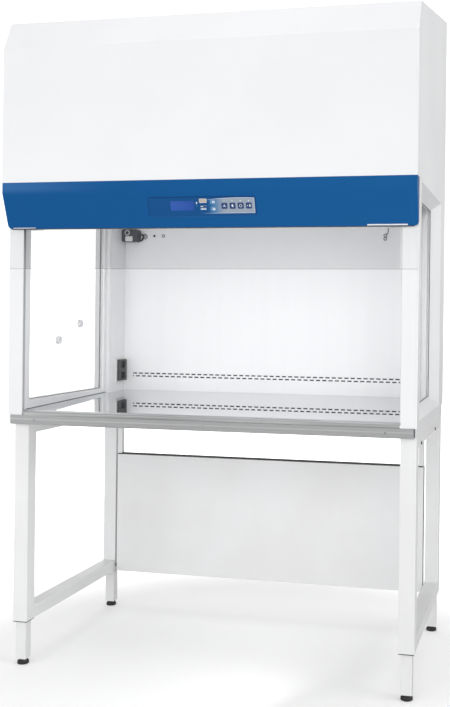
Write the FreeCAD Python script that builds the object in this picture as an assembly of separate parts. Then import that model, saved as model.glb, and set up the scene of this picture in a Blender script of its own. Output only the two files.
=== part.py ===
import FreeCAD, Part
import math
import os

# Vertical laminar flow cabinet on a telescopic stand, in millimetres, +Z up, front facing -Y.
# The origin is on the floor, under the middle of the whole object.

# Driving dimensions: the cabinet as a whole
FILTER_WIDTH = 1170.0
FILTER_SIDE_SPACE = 85.0
DEPTH = 810.0
SHEET = 1.5
SLIP = 0.3
HOOD_BREAK_HEIGHT = 429.0
HOOD_CHAMFER_RISE = 95.0
HOOD_CHAMFER_RUN = 47.0
HOOD_REAR_RISE = 161.0
COVER_FLANGE = 18.0

# Driving dimensions: the stand
TUBE = 50.0
TUBE_WALL = 3.0
STAND_INSET = 5.0
STAND_FRONT_SETBACK = 86.0
LEG_BOTTOM = 145.0
FRAME_HEIGHT = 655.0
TOP_RAIL_HEIGHT = 36.0
LOW_RAIL_HEIGHT = 40.0
INNER_TUBE = 35.0
INNER_WALL = 2.5
INNER_TOP_COVER = 150.0
GLIDE_HEIGHT = 40.0
GLIDE_LIP = 2.5
GLIDE_PLAY = 0.1
FOOT_RADIUS = 19.0
FOOT_HEIGHT = 17.0
FOOT_GAP = 1.0
STEM_RADIUS = 5.0
STEM_PLAY = 0.05
STEM_LENGTH = 58.0
NUT_PLATE = 8.0
REAR_PANEL_HEIGHT = 462.0
REAR_PANEL_DEPTH = 46.0
REAR_PANEL_PROUD = 2.0
TAB_WIDTH = 18.0
TAB_DEPTH = 22.0
PANEL_SIDE_GAP = 8.0
SPACER_RADIUS = 6.0
RAIL_BOLT_DROP = 30.0
RAIL_BOLT_FRONT = 88.0
RAIL_BOLT_REAR = 190.0
BOLT_HEAD_RADIUS = 5.0
BOLT_HEAD_HEIGHT = 3.0

# Driving dimensions: the base, the worktop and the side walls
BASE_HEIGHT = 39.0
BASE_SIDE_WIDTH = 60.0
BASE_SIDE_INSET = 4.0
BASE_CROSS_WIDTH = 40.0
BASE_WALL = 2.0
WORKTOP_RISE = 22.0
WORKTOP_ROLL = 14.0
WORKTOP_LIP_DROP = 32.0
WORKTOP_SETBACK = 54.0
TRIM_INSET = 10.0
TRIM_SETBACK = 47.0
TRIM_HEIGHT = 30.5
TRIM_BEVEL = 5.0
TRIM_FOOT = 38.0
POST_SETBACK = 50.0
POST_WIDTH = 50.0
POST_TOE = 10.0
WALL_THICKNESS = 52.0
WALL_STEP = 12.0
COLUMN_WIDTH = 72.0
COLUMN_DEPTH = 145.0
CHAMBER_HEIGHT = 738.0
WINDOW_FRONT_SETBACK = 98.0
WINDOW_LENGTH = 574.0
WINDOW_SILL_RISE = 10.0
WINDOW_HEIGHT = 722.0
WINDOW_FRONT_BEVEL = 2.0
WINDOW_REAR_BEVEL = 34.0
WINDOW_SILL_BEVEL = 30.0
PANE = 6.0
PANE_DEPTH_IN_WALL = 10.0
PANE_REBATE = 6.0
SEAL_SETBACK = 1.5
SEAL_WIDTH = 7.0
SEAL_THICKNESS = 3.0
BACK_WALL_GAP = 18.5

# Driving dimensions: slots, sockets and small fittings
SLOT_LENGTH = 15.0
SLOT_HEIGHT = 3.6
SLOT_MARGIN = 39.25
SLOT_COUNT = 46
SLOT_ROW_RISE = 55.0
SLOT_ROW_STEP = 11.0
PLUG_RADIUS = 14.0
PLUG_HOLE_RADIUS = 12.0
PLUG_FLANGE = 2.5
PLUGS = ((215.0, 218.0), (376.0, 275.0))
OUTLET_WIDTH = 82.0
OUTLET_HEIGHT = 98.0
OUTLET_PLATE = 4.0
OUTLET_BODY = 10.0
OUTLET_BORDER = 8.0
OUTLET_RISE = 31.0
SOCKET_WIDTH = 34.0
SOCKET_HEIGHT = 24.0
SOCKET_DEPTH = 11.0

# Driving dimensions: fascia, control panel and sash
FASCIA_HEIGHT = 144.0
FASCIA_BAND = 33.0
FASCIA_RECEDE = 41.0
FASCIA_SKIN = 2.5
FASCIA_DEPTH = 44.0
FASCIA_LIP = 6.0
FASCIA_CORNER = 12.0
FASCIA_END = 1.0
OVERLAY_WIDTH = 350.0
OVERLAY_HEIGHT = 63.0
OVERLAY_DROP = 21.0
OVERLAY_THICKNESS = 1.2
OVERLAY_CORNER = 9.0
BOARD_MARGIN = 6.0
BOARD_THICKNESS = 1.6
KEY_SIZE = 19.0
KEY_PITCH = 26.0
KEY_COUNT = 4
KEY_FIRST_X = 74.0
KEY_DROP = 30.0
KEY_CORNER = 3.5
KEY_PROUD = 0.5
KEY_DEPTH = 0.8
KEY_TRAVEL = 0.4
KEY_PLAY = 0.15
ARROW_X = 37.0
ARROW_WIDTH = 16.0
ARROW_HEIGHT = 13.0
ARROW_DROPS = (17.0, 39.0)
MENU_X = 6.0
MENU_WIDTH = 24.0
MENU_HEIGHT = 13.0
MENU_DROP = 13.0
DISPLAY_X = -62.0
DISPLAY_WIDTH = 77.0
DISPLAY_HEIGHT = 30.0
DISPLAY_DROP = 28.0
LED_RADIUS = 1.4
LED_DROP = 14.0
LED_PROUD = 0.3
STATUS_WIDTH = 20.0
STATUS_HEIGHT = 5.0
STATUS_DROPS = (31.0, 39.0)
SASH_THICKNESS = 5.0
SASH_SIDE_GAP = 2.0
SASH_HEIGHT = 266.0
SASH_TOP_GAP = 8.0
BRACKET_WIDTH = 60.0
BRACKET_SHEET = 2.0
BRACKET_REACH = 88.0
BRACKET_DROP = 32.0
BRACKET_PITCH = 450.0

# Driving dimensions: filter, blower, lamps and intake
DECK_SHEET = 2.0
DECK_RISE = 40.0
FILTER_LENGTH = 670.0
FILTER_HEIGHT = 90.0
FILTER_SETBACK = 108.0
FILTER_WALL = 18.0
MEDIA_PLEATS = 26
MEDIA_RECESS = 8.0
SCREEN_SHEET = 1.2
SCREEN_GAP = 8.0
SCREEN_SLOT = 10.0
SCREEN_SLOT_COUNT = 9
SCREEN_SLOT_MARGIN = 60.0
BLOWER_WIDTH = 300.0
BLOWER_RADIUS = 150.0
BLOWER_GROWTH = 50.0
BLOWER_WALL = 2.0
BLOWER_AXIS_RISE = 250.0
BLOWER_SETBACK = 430.0
IMPELLER_RADIUS = 110.0
IMPELLER_WIDTH = 240.0
IMPELLER_BLADES = 24
BLADE_CHORD = 22.0
INLET_RADIUS = 92.0
MOTOR_RADIUS = 52.0
MOTOR_LENGTH = 110.0
SHAFT_RADIUS = 6.0
SHAFT_PLAY = 0.05
INTAKE_WIDTH = 820.0
INTAKE_LENGTH = 320.0
INTAKE_SETBACK = 330.0
PREFILTER_THICKNESS = 20.0
GRILLE_SHEET = 2.0
GRILLE_BORDER = 16.0
GRILLE_BAR = 10.0
GRILLE_SLOTS = 11
LAMP_RADIUS = 13.0
LAMP_SETBACK = 78.0
LAMP_DROP = 128.0
HOLDER_LENGTH = 44.0
HOLDER_WIDTH = 40.0
HOLDER_HEIGHT = 50.0
CONTROL_BOX = (220.0, 120.0, 260.0)
CONTROL_BOX_WALL = 2.0
CONTROL_BOX_INSET = 80.0
INLET_PLATE_WIDTH = 50.0
INLET_PLATE_HEIGHT = 70.0
INLET_MOUTH_WIDTH = 28.0
INLET_MOUTH_HEIGHT = 20.0
INLET_MOUTH_DEPTH = 18.0
INLET_RISE = 80.0
INLET_RIM = 5.0
INLET_FLOOR = 4.0
INLET_SWITCH_HEIGHT = 14.0
UV_BOX = (65.0, 40.0, 49.0)
UV_KNOB_PLACE = 0.42
UV_BOX_CORNER = 8.0
UV_KNOB_RADIUS = 11.0
UV_DROP = 106.0
UV_LEAD_RADIUS = 2.5
UV_LEAD_REACH = 20.0
GROMMET_RADIUS = 11.0
GROMMET_DEPTH = 5.0
CLIP_RADIUS = 10.0
CLIP_WIRE = 2.5
CLIP_X = 449.0
CLIP_RAISE = 9.0

# Places worked out from the driving dimensions
WIDTH = FILTER_WIDTH + 2 * FILTER_SIDE_SPACE
HALF = WIDTH / 2
FRONT = -DEPTH / 2
BACK = DEPTH / 2
STAND_TOP = LEG_BOTTOM + FRAME_HEIGHT
BASE_TOP = STAND_TOP + BASE_HEIGHT
WORKTOP_Z = BASE_TOP + WORKTOP_RISE
CHAMBER_TOP = BASE_TOP + CHAMBER_HEIGHT
HOOD_BREAK_Z = CHAMBER_TOP + HOOD_BREAK_HEIGHT
HOOD_FRONT_Z = HOOD_BREAK_Z + HOOD_CHAMFER_RISE
HOOD_REAR_Z = HOOD_FRONT_Z + HOOD_REAR_RISE
WALL_INNER_X = HALF - WALL_THICKNESS
COLUMN_INNER_X = HALF - COLUMN_WIDTH
POST_INNER_X = HALF - POST_WIDTH
POST_Y = FRONT + POST_SETBACK
SKIN_Y = BACK - SHEET
BACK_WALL_Y = SKIN_Y - BACK_WALL_GAP
COLUMN_Y = BACK - COLUMN_DEPTH
SLOT_PITCH = (2 * (COLUMN_INNER_X - SLOT_MARGIN) - SLOT_LENGTH) / (SLOT_COUNT - 1)
WINDOW_Y = FRONT + WINDOW_FRONT_SETBACK
WINDOW_Z = BASE_TOP + WINDOW_SILL_RISE
PANE_X = WALL_INNER_X + PANE_DEPTH_IN_WALL
LEG_X = HALF - STAND_INSET - TUBE / 2
FRONT_LEG_Y = FRONT + STAND_FRONT_SETBACK + TUBE / 2
REAR_LEG_Y = BACK - TUBE / 2
FASCIA_Z = CHAMBER_TOP - FASCIA_HEIGHT
FASCIA_TILT = math.atan2(FASCIA_RECEDE, FASCIA_HEIGHT - FASCIA_BAND)
DECK_Z = CHAMBER_TOP + DECK_RISE
CONTROL_BOX_X = CONTROL_BOX[0] / 2 + CONTROL_BOX_INSET - HALF
FILTER_Z = DECK_Z - FILTER_HEIGHT
FILTER_Y = FRONT + FILTER_SETBACK
SCREEN_Z = FILTER_Z - SCREEN_GAP
ROOF_SLOPE = math.atan2(HOOD_REAR_RISE, DEPTH - HOOD_CHAMFER_RUN)


def vec(x, y, z):
    return FreeCAD.Vector(x, y, z)


def block(x0, x1, y0, y1, z0, z1):
    return Part.makeBox(x1 - x0, y1 - y0, z1 - z0, vec(x0, y0, z0))


def fuse_all(shapes):
    solid = shapes[0]
    if len(shapes) > 1:
        solid = solid.fuse(shapes[1:])
    return solid.removeSplitter()


def cut_all(solid, tools):
    return solid.cut(tools)


def group(solids):
    return Part.makeCompound(solids)


def mirrored(shape):
    return shape.mirror(vec(0, 0, 0), vec(1, 0, 0))


def prism(points, direction):
    wire = Part.makePolygon(points + [points[0]])
    return Part.Face(wire).extrude(direction)


def prism_along_x(section, x0, x1):
    return prism([vec(x0, y, z) for y, z in section], vec(x1 - x0, 0, 0))


def prism_along_z(section, z0, z1):
    return prism([vec(x, y, z0) for x, y in section], vec(0, 0, z1 - z0))


def prism_along_y(section, y0, y1):
    return prism([vec(x, y0, z) for x, z in section], vec(0, y1 - y0, 0))


def rounded_plate(width, height, corner, y0, y1, x=0.0, z=0.0):
    # an upright plate across Y, centred on x and z, with its four corners rounded
    plate = block(x - width / 2, x + width / 2, y0, y1, z - height / 2, z + height / 2)
    edges = [e for e in plate.Edges if abs(e.Vertexes[0].Y - e.Vertexes[1].Y) > (y1 - y0) / 2]
    return plate.makeFillet(corner, edges)


def cylinder_y(radius, y0, y1, x, z):
    return Part.makeCylinder(radius, y1 - y0, vec(x, y0, z), vec(0, 1, 0))


def cylinder_z(radius, z0, z1, x, y):
    return Part.makeCylinder(radius, z1 - z0, vec(x, y, z0), vec(0, 0, 1))


def cylinder_x(radius, x0, x1, y, z):
    return Part.makeCylinder(radius, x1 - x0, vec(x0, y, z), vec(1, 0, 0))


# Side walls: front post, glazed window and rear column, folded from one sheet as a hollow box
def window_rectangle(share, grow):
    # the opening's outline: share 0 is the outer skin, 1 is the pane, and grow widens it all round
    return (WINDOW_Y + share * WINDOW_FRONT_BEVEL - grow,
            WINDOW_Y + WINDOW_LENGTH - share * WINDOW_REAR_BEVEL + grow,
            WINDOW_Z + share * WINDOW_SILL_BEVEL - grow,
            WINDOW_Z + WINDOW_HEIGHT - share * WINDOW_SILL_BEVEL + grow)


def window_section(x, share, grow):
    y0, y1, z0, z1 = window_rectangle(share, grow)
    return Part.makePolygon([vec(x, y0, z0), vec(x, y1, z0), vec(x, y1, z1), vec(x, y0, z1), vec(x, y0, z0)])


def window_cutter(grow):
    pane_face = PANE_X + PANE
    reveal = Part.makeLoft([window_section(pane_face, 1, grow), window_section(HALF, 0, grow)], True, True)
    y0, y1, z0, z1 = window_rectangle(1, PANE_REBATE + grow)
    rebate = block(WALL_INNER_X - 1, pane_face, y0, y1, z0, z1)
    return reveal.fuse(rebate)


def wall_section(inset):
    # plan outline of the right wall, pulled in by inset on every side
    step_y = POST_Y + WALL_STEP
    return [(POST_INNER_X + inset, POST_Y + inset), (HALF - inset, POST_Y + inset),
            (HALF - inset, SKIN_Y - inset), (COLUMN_INNER_X + inset, SKIN_Y - inset),
            (COLUMN_INNER_X + inset, COLUMN_Y + inset), (WALL_INNER_X + inset, COLUMN_Y + inset),
            (WALL_INNER_X + inset, step_y + inset), (POST_INNER_X + inset, step_y + inset)]


def side_panel():
    body = prism_along_z(wall_section(0), BASE_TOP, CHAMBER_TOP)
    hollow = prism_along_z(wall_section(SHEET), BASE_TOP - 1, CHAMBER_TOP + 1)
    hollow = hollow.cut(window_cutter(SHEET))
    toe = block(POST_INNER_X, HALF, POST_Y, POST_Y + SHEET * 2, BASE_TOP - POST_TOE, BASE_TOP + SHEET)
    shell = body.cut(hollow).cut(window_cutter(0))
    return fuse_all([shell, toe])


def pane_rectangle():
    return window_rectangle(1, PANE_REBATE - SLIP)


def side_pane(with_holes):
    y0, y1, z0, z1 = pane_rectangle()
    pane = block(PANE_X, PANE_X + PANE, y0, y1, z0, z1)
    if with_holes:
        holes = [cylinder_x(PLUG_HOLE_RADIUS, PANE_X - 1, PANE_X + PANE + 1, WINDOW_Y + y, WINDOW_Z + z)
                 for y, z in PLUGS]
        pane = cut_all(pane, holes)
    return pane


def side_glasses():
    return group([side_pane(False), mirrored(side_pane(True))])


def liner_seals():
    # soft strips down the corners where the side walls meet the posts and the rear columns
    step_y = POST_Y + WALL_STEP
    front = block(WALL_INNER_X, POST_INNER_X, POST_Y + SEAL_SETBACK, step_y, WORKTOP_Z, CHAMBER_TOP)
    rear = block(COLUMN_INNER_X, COLUMN_INNER_X + SEAL_WIDTH, COLUMN_Y - SEAL_THICKNESS, COLUMN_Y,
                 WORKTOP_Z, CHAMBER_TOP)
    return group([front, rear, mirrored(front), mirrored(rear)])


def service_plugs():
    plugs = []
    for y, z in PLUGS:
        place = (WINDOW_Y + y, WINDOW_Z + z)
        core = cylinder_x(PLUG_HOLE_RADIUS - SLIP, PANE_X, PANE_X + PANE, *place)
        cap = cylinder_x(PLUG_RADIUS, PANE_X - PLUG_FLANGE, PANE_X, *place)
        outer_cap = cylinder_x(PLUG_RADIUS, PANE_X + PANE, PANE_X + PANE + PLUG_FLANGE, *place)
        plugs.append(mirrored(fuse_all([core, cap, outer_cap])))
    return group(plugs)


# Hood: two side sheets, lapped by a folded front cover, a sloping top cover and the rear skin
def hood_section(inset):
    # side outline of the hood, pulled in from the front and the top by inset
    lean = math.atan2(HOOD_CHAMFER_RUN, HOOD_CHAMFER_RISE)
    break_shift = inset * math.tan(lean / 2)
    shoulder = (math.pi / 2 - lean - ROOF_SLOPE) / 2
    corner = inset * math.tan(shoulder)
    front_x = FRONT + HOOD_CHAMFER_RUN
    return [(FRONT + inset, CHAMBER_TOP),
            (FRONT + inset, HOOD_BREAK_Z - break_shift),
            (front_x + inset * math.cos(lean) - corner * math.sin(lean),
             HOOD_FRONT_Z - inset * math.sin(lean) - corner * math.cos(lean)),
            (SKIN_Y, HOOD_REAR_Z - inset / math.cos(ROOF_SLOPE) - SHEET * math.tan(ROOF_SLOPE)),
            (SKIN_Y, CHAMBER_TOP)]


def hood_side():
    return prism_along_x(hood_section(SHEET), HALF - SHEET, HALF)


def hood_front_cover():
    outer = hood_section(0)
    inner = hood_section(SHEET)
    section = outer[:3] + [inner[2], inner[1], inner[0]]
    skin = prism_along_x(section, -HALF, HALF)
    flange = block(-HALF + SHEET, HALF - SHEET, FRONT + SHEET, FRONT + SHEET + COVER_FLANGE,
                   CHAMBER_TOP, CHAMBER_TOP + SHEET)
    return fuse_all([skin, flange])


def on_roof(shape):
    # turns a piece laid flat at the front top edge onto the slope of the roof
    turned = shape.copy()
    turned.rotate(vec(0, 0, 0), vec(1, 0, 0), math.degrees(ROOF_SLOPE))
    turned.translate(vec(0, FRONT + HOOD_CHAMFER_RUN, HOOD_FRONT_Z))
    return turned


def hood_top_cover():
    length = (DEPTH - HOOD_CHAMFER_RUN) / math.cos(ROOF_SLOPE)
    sheet = block(-HALF, HALF, 0, length, -SHEET, 0)
    mouth = block(-INTAKE_WIDTH / 2, INTAKE_WIDTH / 2, INTAKE_SETBACK, INTAKE_SETBACK + INTAKE_LENGTH, -9, 9)
    rails = []
    for y in (INTAKE_SETBACK - COVER_FLANGE, INTAKE_SETBACK + INTAKE_LENGTH):
        rails.append(block(-HALF + SHEET + SLIP, HALF - SHEET - SLIP, y, y + COVER_FLANGE,
                           -SHEET - COVER_FLANGE, -SHEET))
    skin = on_roof(fuse_all([sheet.cut(mouth)] + rails))
    keep = block(-HALF - 1, HALF + 1, FRONT - 1, BACK, CHAMBER_TOP, HOOD_REAR_Z + 100)
    lapped = prism_along_x(hood_section(0)[:3] + [hood_section(SHEET)[2], hood_section(SHEET)[1],
                                                  hood_section(SHEET)[0]], -HALF, HALF)
    return skin.common(keep).cut(lapped)


def rear_skin():
    top = HOOD_REAR_Z - SHEET / math.cos(ROOF_SLOPE) - SHEET * math.tan(ROOF_SLOPE)
    skin = block(-HALF, HALF, SKIN_Y, BACK, BASE_TOP, top)
    ribs = []
    for x in (-HALF / 2, 0, HALF / 2):
        ribs.append(block(x - COVER_FLANGE, x + COVER_FLANGE, SKIN_Y - COVER_FLANGE / 2, SKIN_Y,
                          CHAMBER_TOP + COVER_FLANGE, top - COVER_FLANGE))
    mouth_z = inlet_z()
    x = CONTROL_BOX_X
    w, h = inlet_body_half()
    mouth = block(x - w, x + w, SKIN_Y - 1, BACK + 1, mouth_z - h, mouth_z + h)
    return fuse_all([skin.cut(mouth)] + ribs)


# Fascia: one painted sheet, an upright band over a receding face, with closed ends and a lower lip
def fascia_section(inset):
    face_top = CHAMBER_TOP - FASCIA_BAND
    shift = inset * math.tan(FASCIA_TILT / 2)
    slope = FASCIA_RECEDE / (FASCIA_HEIGHT - FASCIA_BAND)
    low_z = FASCIA_Z + inset
    low_y = FRONT + slope * (face_top - low_z) + inset / math.cos(FASCIA_TILT)
    return [(FRONT + inset, CHAMBER_TOP + inset), (FRONT + inset, face_top - shift),
            (low_y, low_z), (FRONT + FASCIA_DEPTH + inset, low_z),
            (FRONT + FASCIA_DEPTH + inset, CHAMBER_TOP + inset)]


def fascia():
    half = HALF - FASCIA_END
    block_shape = prism_along_x(fascia_section(0), -half, half)
    outline = rounded_plate(2 * half, 2 * FASCIA_HEIGHT, FASCIA_CORNER, FRONT - 1, FRONT + FASCIA_DEPTH + 1,
                            0, FASCIA_Z + FASCIA_HEIGHT)
    inner_half = half - FASCIA_SKIN
    hollow = prism_along_x(fascia_section(FASCIA_SKIN), -inner_half, inner_half)
    inner_outline = rounded_plate(2 * inner_half, 2 * (FASCIA_HEIGHT - FASCIA_SKIN), FASCIA_CORNER - FASCIA_SKIN,
                                  FRONT - 1, FRONT + FASCIA_DEPTH + 9, 0, FASCIA_Z + FASCIA_HEIGHT)
    shell = block_shape.common(outline).cut(hollow.common(inner_outline))
    window = on_fascia(rounded_plate(OVERLAY_WIDTH - 2 * BOARD_MARGIN, OVERLAY_HEIGHT - 2 * BOARD_MARGIN, 3.0,
                                     -2, 6, 0, -OVERLAY_DROP - OVERLAY_HEIGHT / 2))
    return shell.cut(window)


def on_fascia(shape):
    # turns a piece made upright at the origin onto the receding face, with z = 0 at its top edge
    turned = shape.copy()
    turned.rotate(vec(0, 0, 0), vec(1, 0, 0), math.degrees(FASCIA_TILT))
    turned.translate(vec(0, FRONT, CHAMBER_TOP - FASCIA_BAND))
    return turned


def key_places():
    # name, centre x, drop below the top of the overlay, width and height of each key
    names = ("fan_key", "lamp_key", "uv_key", "outlet_key")
    places = [(names[i], KEY_FIRST_X + i * KEY_PITCH, KEY_DROP, KEY_SIZE, KEY_SIZE) for i in range(KEY_COUNT)]
    places.append(("up_key", ARROW_X, ARROW_DROPS[0], ARROW_WIDTH, ARROW_HEIGHT))
    places.append(("down_key", ARROW_X, ARROW_DROPS[1], ARROW_WIDTH, ARROW_HEIGHT))
    places.append(("menu_key", MENU_X, MENU_DROP, MENU_WIDTH, MENU_HEIGHT))
    return places


def overlay_z(drop):
    return -OVERLAY_DROP - drop


def control_overlay():
    plate = rounded_plate(OVERLAY_WIDTH, OVERLAY_HEIGHT, OVERLAY_CORNER, -OVERLAY_THICKNESS, 0,
                          0, overlay_z(OVERLAY_HEIGHT / 2))
    tools = [rounded_plate(w + 2 * KEY_PLAY, h + 2 * KEY_PLAY, KEY_CORNER + KEY_PLAY, -3, 3, x, overlay_z(drop))
             for name, x, drop, w, h in key_places()]
    tools.append(block(DISPLAY_X - DISPLAY_WIDTH / 2, DISPLAY_X + DISPLAY_WIDTH / 2, -3, 3,
                       overlay_z(DISPLAY_DROP) - DISPLAY_HEIGHT / 2, overlay_z(DISPLAY_DROP) + DISPLAY_HEIGHT / 2))
    return on_fascia(cut_all(plate, tools))


def control_key(x, drop, width, height):
    return on_fascia(rounded_plate(width, height, KEY_CORNER, -OVERLAY_THICKNESS - KEY_PROUD, KEY_DEPTH,
                                   x, overlay_z(drop)))


def display_window():
    play = KEY_PLAY
    z = overlay_z(DISPLAY_DROP)
    return on_fascia(block(DISPLAY_X - DISPLAY_WIDTH / 2 + play, DISPLAY_X + DISPLAY_WIDTH / 2 - play,
                           -OVERLAY_THICKNESS - LED_PROUD, KEY_DEPTH,
                           z - DISPLAY_HEIGHT / 2 + play, z + DISPLAY_HEIGHT / 2 - play))


def status_leds():
    lights = []
    y0 = -OVERLAY_THICKNESS - LED_PROUD
    for i in range(KEY_COUNT):
        lights.append(cylinder_y(LED_RADIUS, y0, -OVERLAY_THICKNESS, KEY_FIRST_X + i * KEY_PITCH,
                                 overlay_z(LED_DROP)))
    for drop in STATUS_DROPS:
        lights.append(rounded_plate(STATUS_WIDTH, STATUS_HEIGHT, 1.5, y0, -OVERLAY_THICKNESS,
                                    MENU_X, overlay_z(drop)))
    return on_fascia(group(lights))


def control_board():
    margin = BOARD_MARGIN + SLIP
    depth = KEY_DEPTH + KEY_TRAVEL + SLIP
    return on_fascia(rounded_plate(OVERLAY_WIDTH - 2 * margin, OVERLAY_HEIGHT - 2 * margin, 3.0,
                                   depth, depth + BOARD_THICKNESS, 0, overlay_z(OVERLAY_HEIGHT / 2)))


# Front sash: a clear panel hung behind the fascia on three folded brackets
def front_sash():
    y0 = POST_Y - SLIP - SASH_THICKNESS
    top = CHAMBER_TOP - SASH_TOP_GAP
    half = HALF - SASH_SIDE_GAP
    return block(-half, half, y0, y0 + SASH_THICKNESS, top - SASH_HEIGHT, top)


def fascia_brackets():
    brackets = []
    top = CHAMBER_TOP
    y0 = FRONT + FASCIA_SKIN + SLIP
    sash_back = POST_Y
    for i in (-1, 0, 1):
        x0 = i * BRACKET_PITCH - BRACKET_WIDTH / 2
        x1 = x0 + BRACKET_WIDTH
        arm = block(x0, x1, y0, FRONT + BRACKET_REACH, top - BRACKET_SHEET, top)
        front_leg = block(x0, x1, y0, y0 + BRACKET_SHEET, top - BRACKET_DROP, top)
        sash_leg = block(x0, x1, sash_back, sash_back + BRACKET_SHEET, top - BRACKET_DROP, top)
        brackets.append(fuse_all([arm, front_leg, sash_leg]))
    return group(brackets)


# Base: folded channels round the foot of the cabinet, which the stand carries
def base_frame():
    x1 = HALF - BASE_SIDE_INSET
    x0 = x1 - BASE_SIDE_WIDTH
    y0 = FRONT + WORKTOP_SETBACK + SHEET + SLIP
    w = BASE_WALL
    side = block(x0, x1, y0, SKIN_Y, STAND_TOP, BASE_TOP)
    side = side.cut(block(x0 - 1, x1 - w, y0 - 1, SKIN_Y + 1, STAND_TOP + w, BASE_TOP - w))
    rails = [side, mirrored(side)]
    front_y = FRONT + WORKTOP_SETBACK + WORKTOP_ROLL
    for y0, open_side in ((front_y, 1), (SKIN_Y - BASE_CROSS_WIDTH, -1)):
        y1 = y0 + BASE_CROSS_WIDTH
        bar = block(-x0, x0, y0, y1, STAND_TOP, BASE_TOP)
        inner = block(-x0 - 1, x0 + 1, y0 + w if open_side > 0 else y0 - 1,
                      y1 + 1 if open_side > 0 else y1 - w, STAND_TOP + w, BASE_TOP - w)
        rails.append(bar.cut(inner))
    return group(rails)


# Worktop: a polished steel sheet notched round the rear columns, with a rolled front edge and welded-on strips
def worktop():
    half = WALL_INNER_X - SLIP
    y0 = FRONT + WORKTOP_SETBACK
    y1 = BACK_WALL_Y - SLIP
    top = block(-half, half, y0 + WORKTOP_ROLL, y1, WORKTOP_Z - SHEET, WORKTOP_Z)
    centre = (y0 + WORKTOP_ROLL, WORKTOP_Z - WORKTOP_ROLL)
    roll = cylinder_x(WORKTOP_ROLL, -half, half, *centre)
    roll = roll.cut(cylinder_x(WORKTOP_ROLL - SHEET, -half - 1, half + 1, *centre))
    roll = roll.common(block(-half, half, y0, centre[0], centre[1], WORKTOP_Z))
    lip = block(-half, half, y0, y0 + SHEET, WORKTOP_Z - WORKTOP_LIP_DROP, centre[1])
    low = WORKTOP_Z - SHEET
    side = block(half - SHEET, half, y0 + WORKTOP_ROLL, COLUMN_Y - SLIP, BASE_TOP, low)
    rear_half = COLUMN_INNER_X - SLIP
    rear = block(-rear_half, rear_half, y1 - SHEET, y1, BASE_TOP, low)
    notch = block(rear_half, HALF, COLUMN_Y - SLIP, BACK, BASE_TOP, WORKTOP_Z + 1)
    return group([cut_all(top, [notch, mirrored(notch)]), roll.fuse(lip), side, mirrored(side), rear])


def trim_top_z():
    return BASE_TOP - POST_TOE


def front_trim():
    # folded steel trim under the posts and the worktop's lip, with a bevelled lower edge
    half = HALF - TRIM_INSET
    y0 = FRONT + TRIM_SETBACK
    top = trim_top_z()
    low = top - TRIM_HEIGHT
    b = TRIM_BEVEL
    t = SHEET
    back_y = y0 + TRIM_FOOT
    section = [(y0, top), (y0, low + b), (y0 + b, low), (back_y, low), (back_y, low + t),
               (y0 + b + t / 2, low + t), (y0 + t, low + b + t / 2), (y0 + t, top - t),
               (y0 + WORKTOP_ROLL, top - t), (y0 + WORKTOP_ROLL, top)]
    return prism_along_x(section, -half, half)


def worktop_screws():
    y = FRONT + TRIM_SETBACK
    z = trim_top_z() - TRIM_HEIGHT / 2
    screws = []
    for i in (-1, 0, 1):
        screws.append(cylinder_y(BOLT_HEAD_RADIUS - 1, y - BOLT_HEAD_HEIGHT + 1, y, i * (HALF - 95), z))
    return group(screws)


# Back wall of the chamber, with two staggered rows of return air slots
def back_wall():
    half = COLUMN_INNER_X - SLIP
    sheet = block(-half, half, BACK_WALL_Y, BACK_WALL_Y + SHEET, WORKTOP_Z, SCREEN_Z)
    slots = []
    first = -(SLOT_COUNT - 1) * SLOT_PITCH / 2
    for row in (0, 1):
        z = WORKTOP_Z + SLOT_ROW_RISE + row * SLOT_ROW_STEP
        shift = SLOT_PITCH / 2 if row == 0 else 0.0
        for i in range(SLOT_COUNT - (1 - row)):
            x = first + i * SLOT_PITCH + shift
            slots.append(block(x - SLOT_LENGTH / 2, x + SLOT_LENGTH / 2, BACK_WALL_Y - 1, BACK_WALL_Y + SHEET + 1,
                               z - SLOT_HEIGHT / 2, z + SLOT_HEIGHT / 2))
    holes = [cylinder_y(UV_LEAD_RADIUS + 1.5, BACK_WALL_Y - 1, BACK_WALL_Y + SHEET + 1, grommet_x(), uv_z())]
    return cut_all(sheet, slots + holes)


# Filter, its pleated pack, and the perforated screen that hides it
def filter_frame():
    x = FILTER_WIDTH / 2
    y1 = FILTER_Y + FILTER_LENGTH
    frame = block(-x, x, FILTER_Y, y1, FILTER_Z, DECK_Z)
    w = FILTER_WALL
    hole = block(-x + w, x - w, FILTER_Y + w, y1 - w, FILTER_Z - 1, DECK_Z + 1)
    return frame.cut(hole)


def filter_media():
    # one zigzag pack, its pleats running front to back
    half = FILTER_WIDTH / 2 - FILTER_WALL
    low = FILTER_Z + MEDIA_RECESS
    high = DECK_Z - MEDIA_RECESS
    pitch = 2 * half / MEDIA_PLEATS
    thick = pitch / 3
    upper = []
    lower = []
    for i in range(MEDIA_PLEATS + 1):
        x = -half + i * pitch
        crest = i % 2 == 0
        upper.append((x, high if crest else low + thick * 2))
        lower.append((x, high - thick * 2 if crest else low))
    y0 = FILTER_Y + FILTER_WALL
    return prism_along_y(upper + lower[::-1], y0, y0 + FILTER_LENGTH - 2 * FILTER_WALL)


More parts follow.
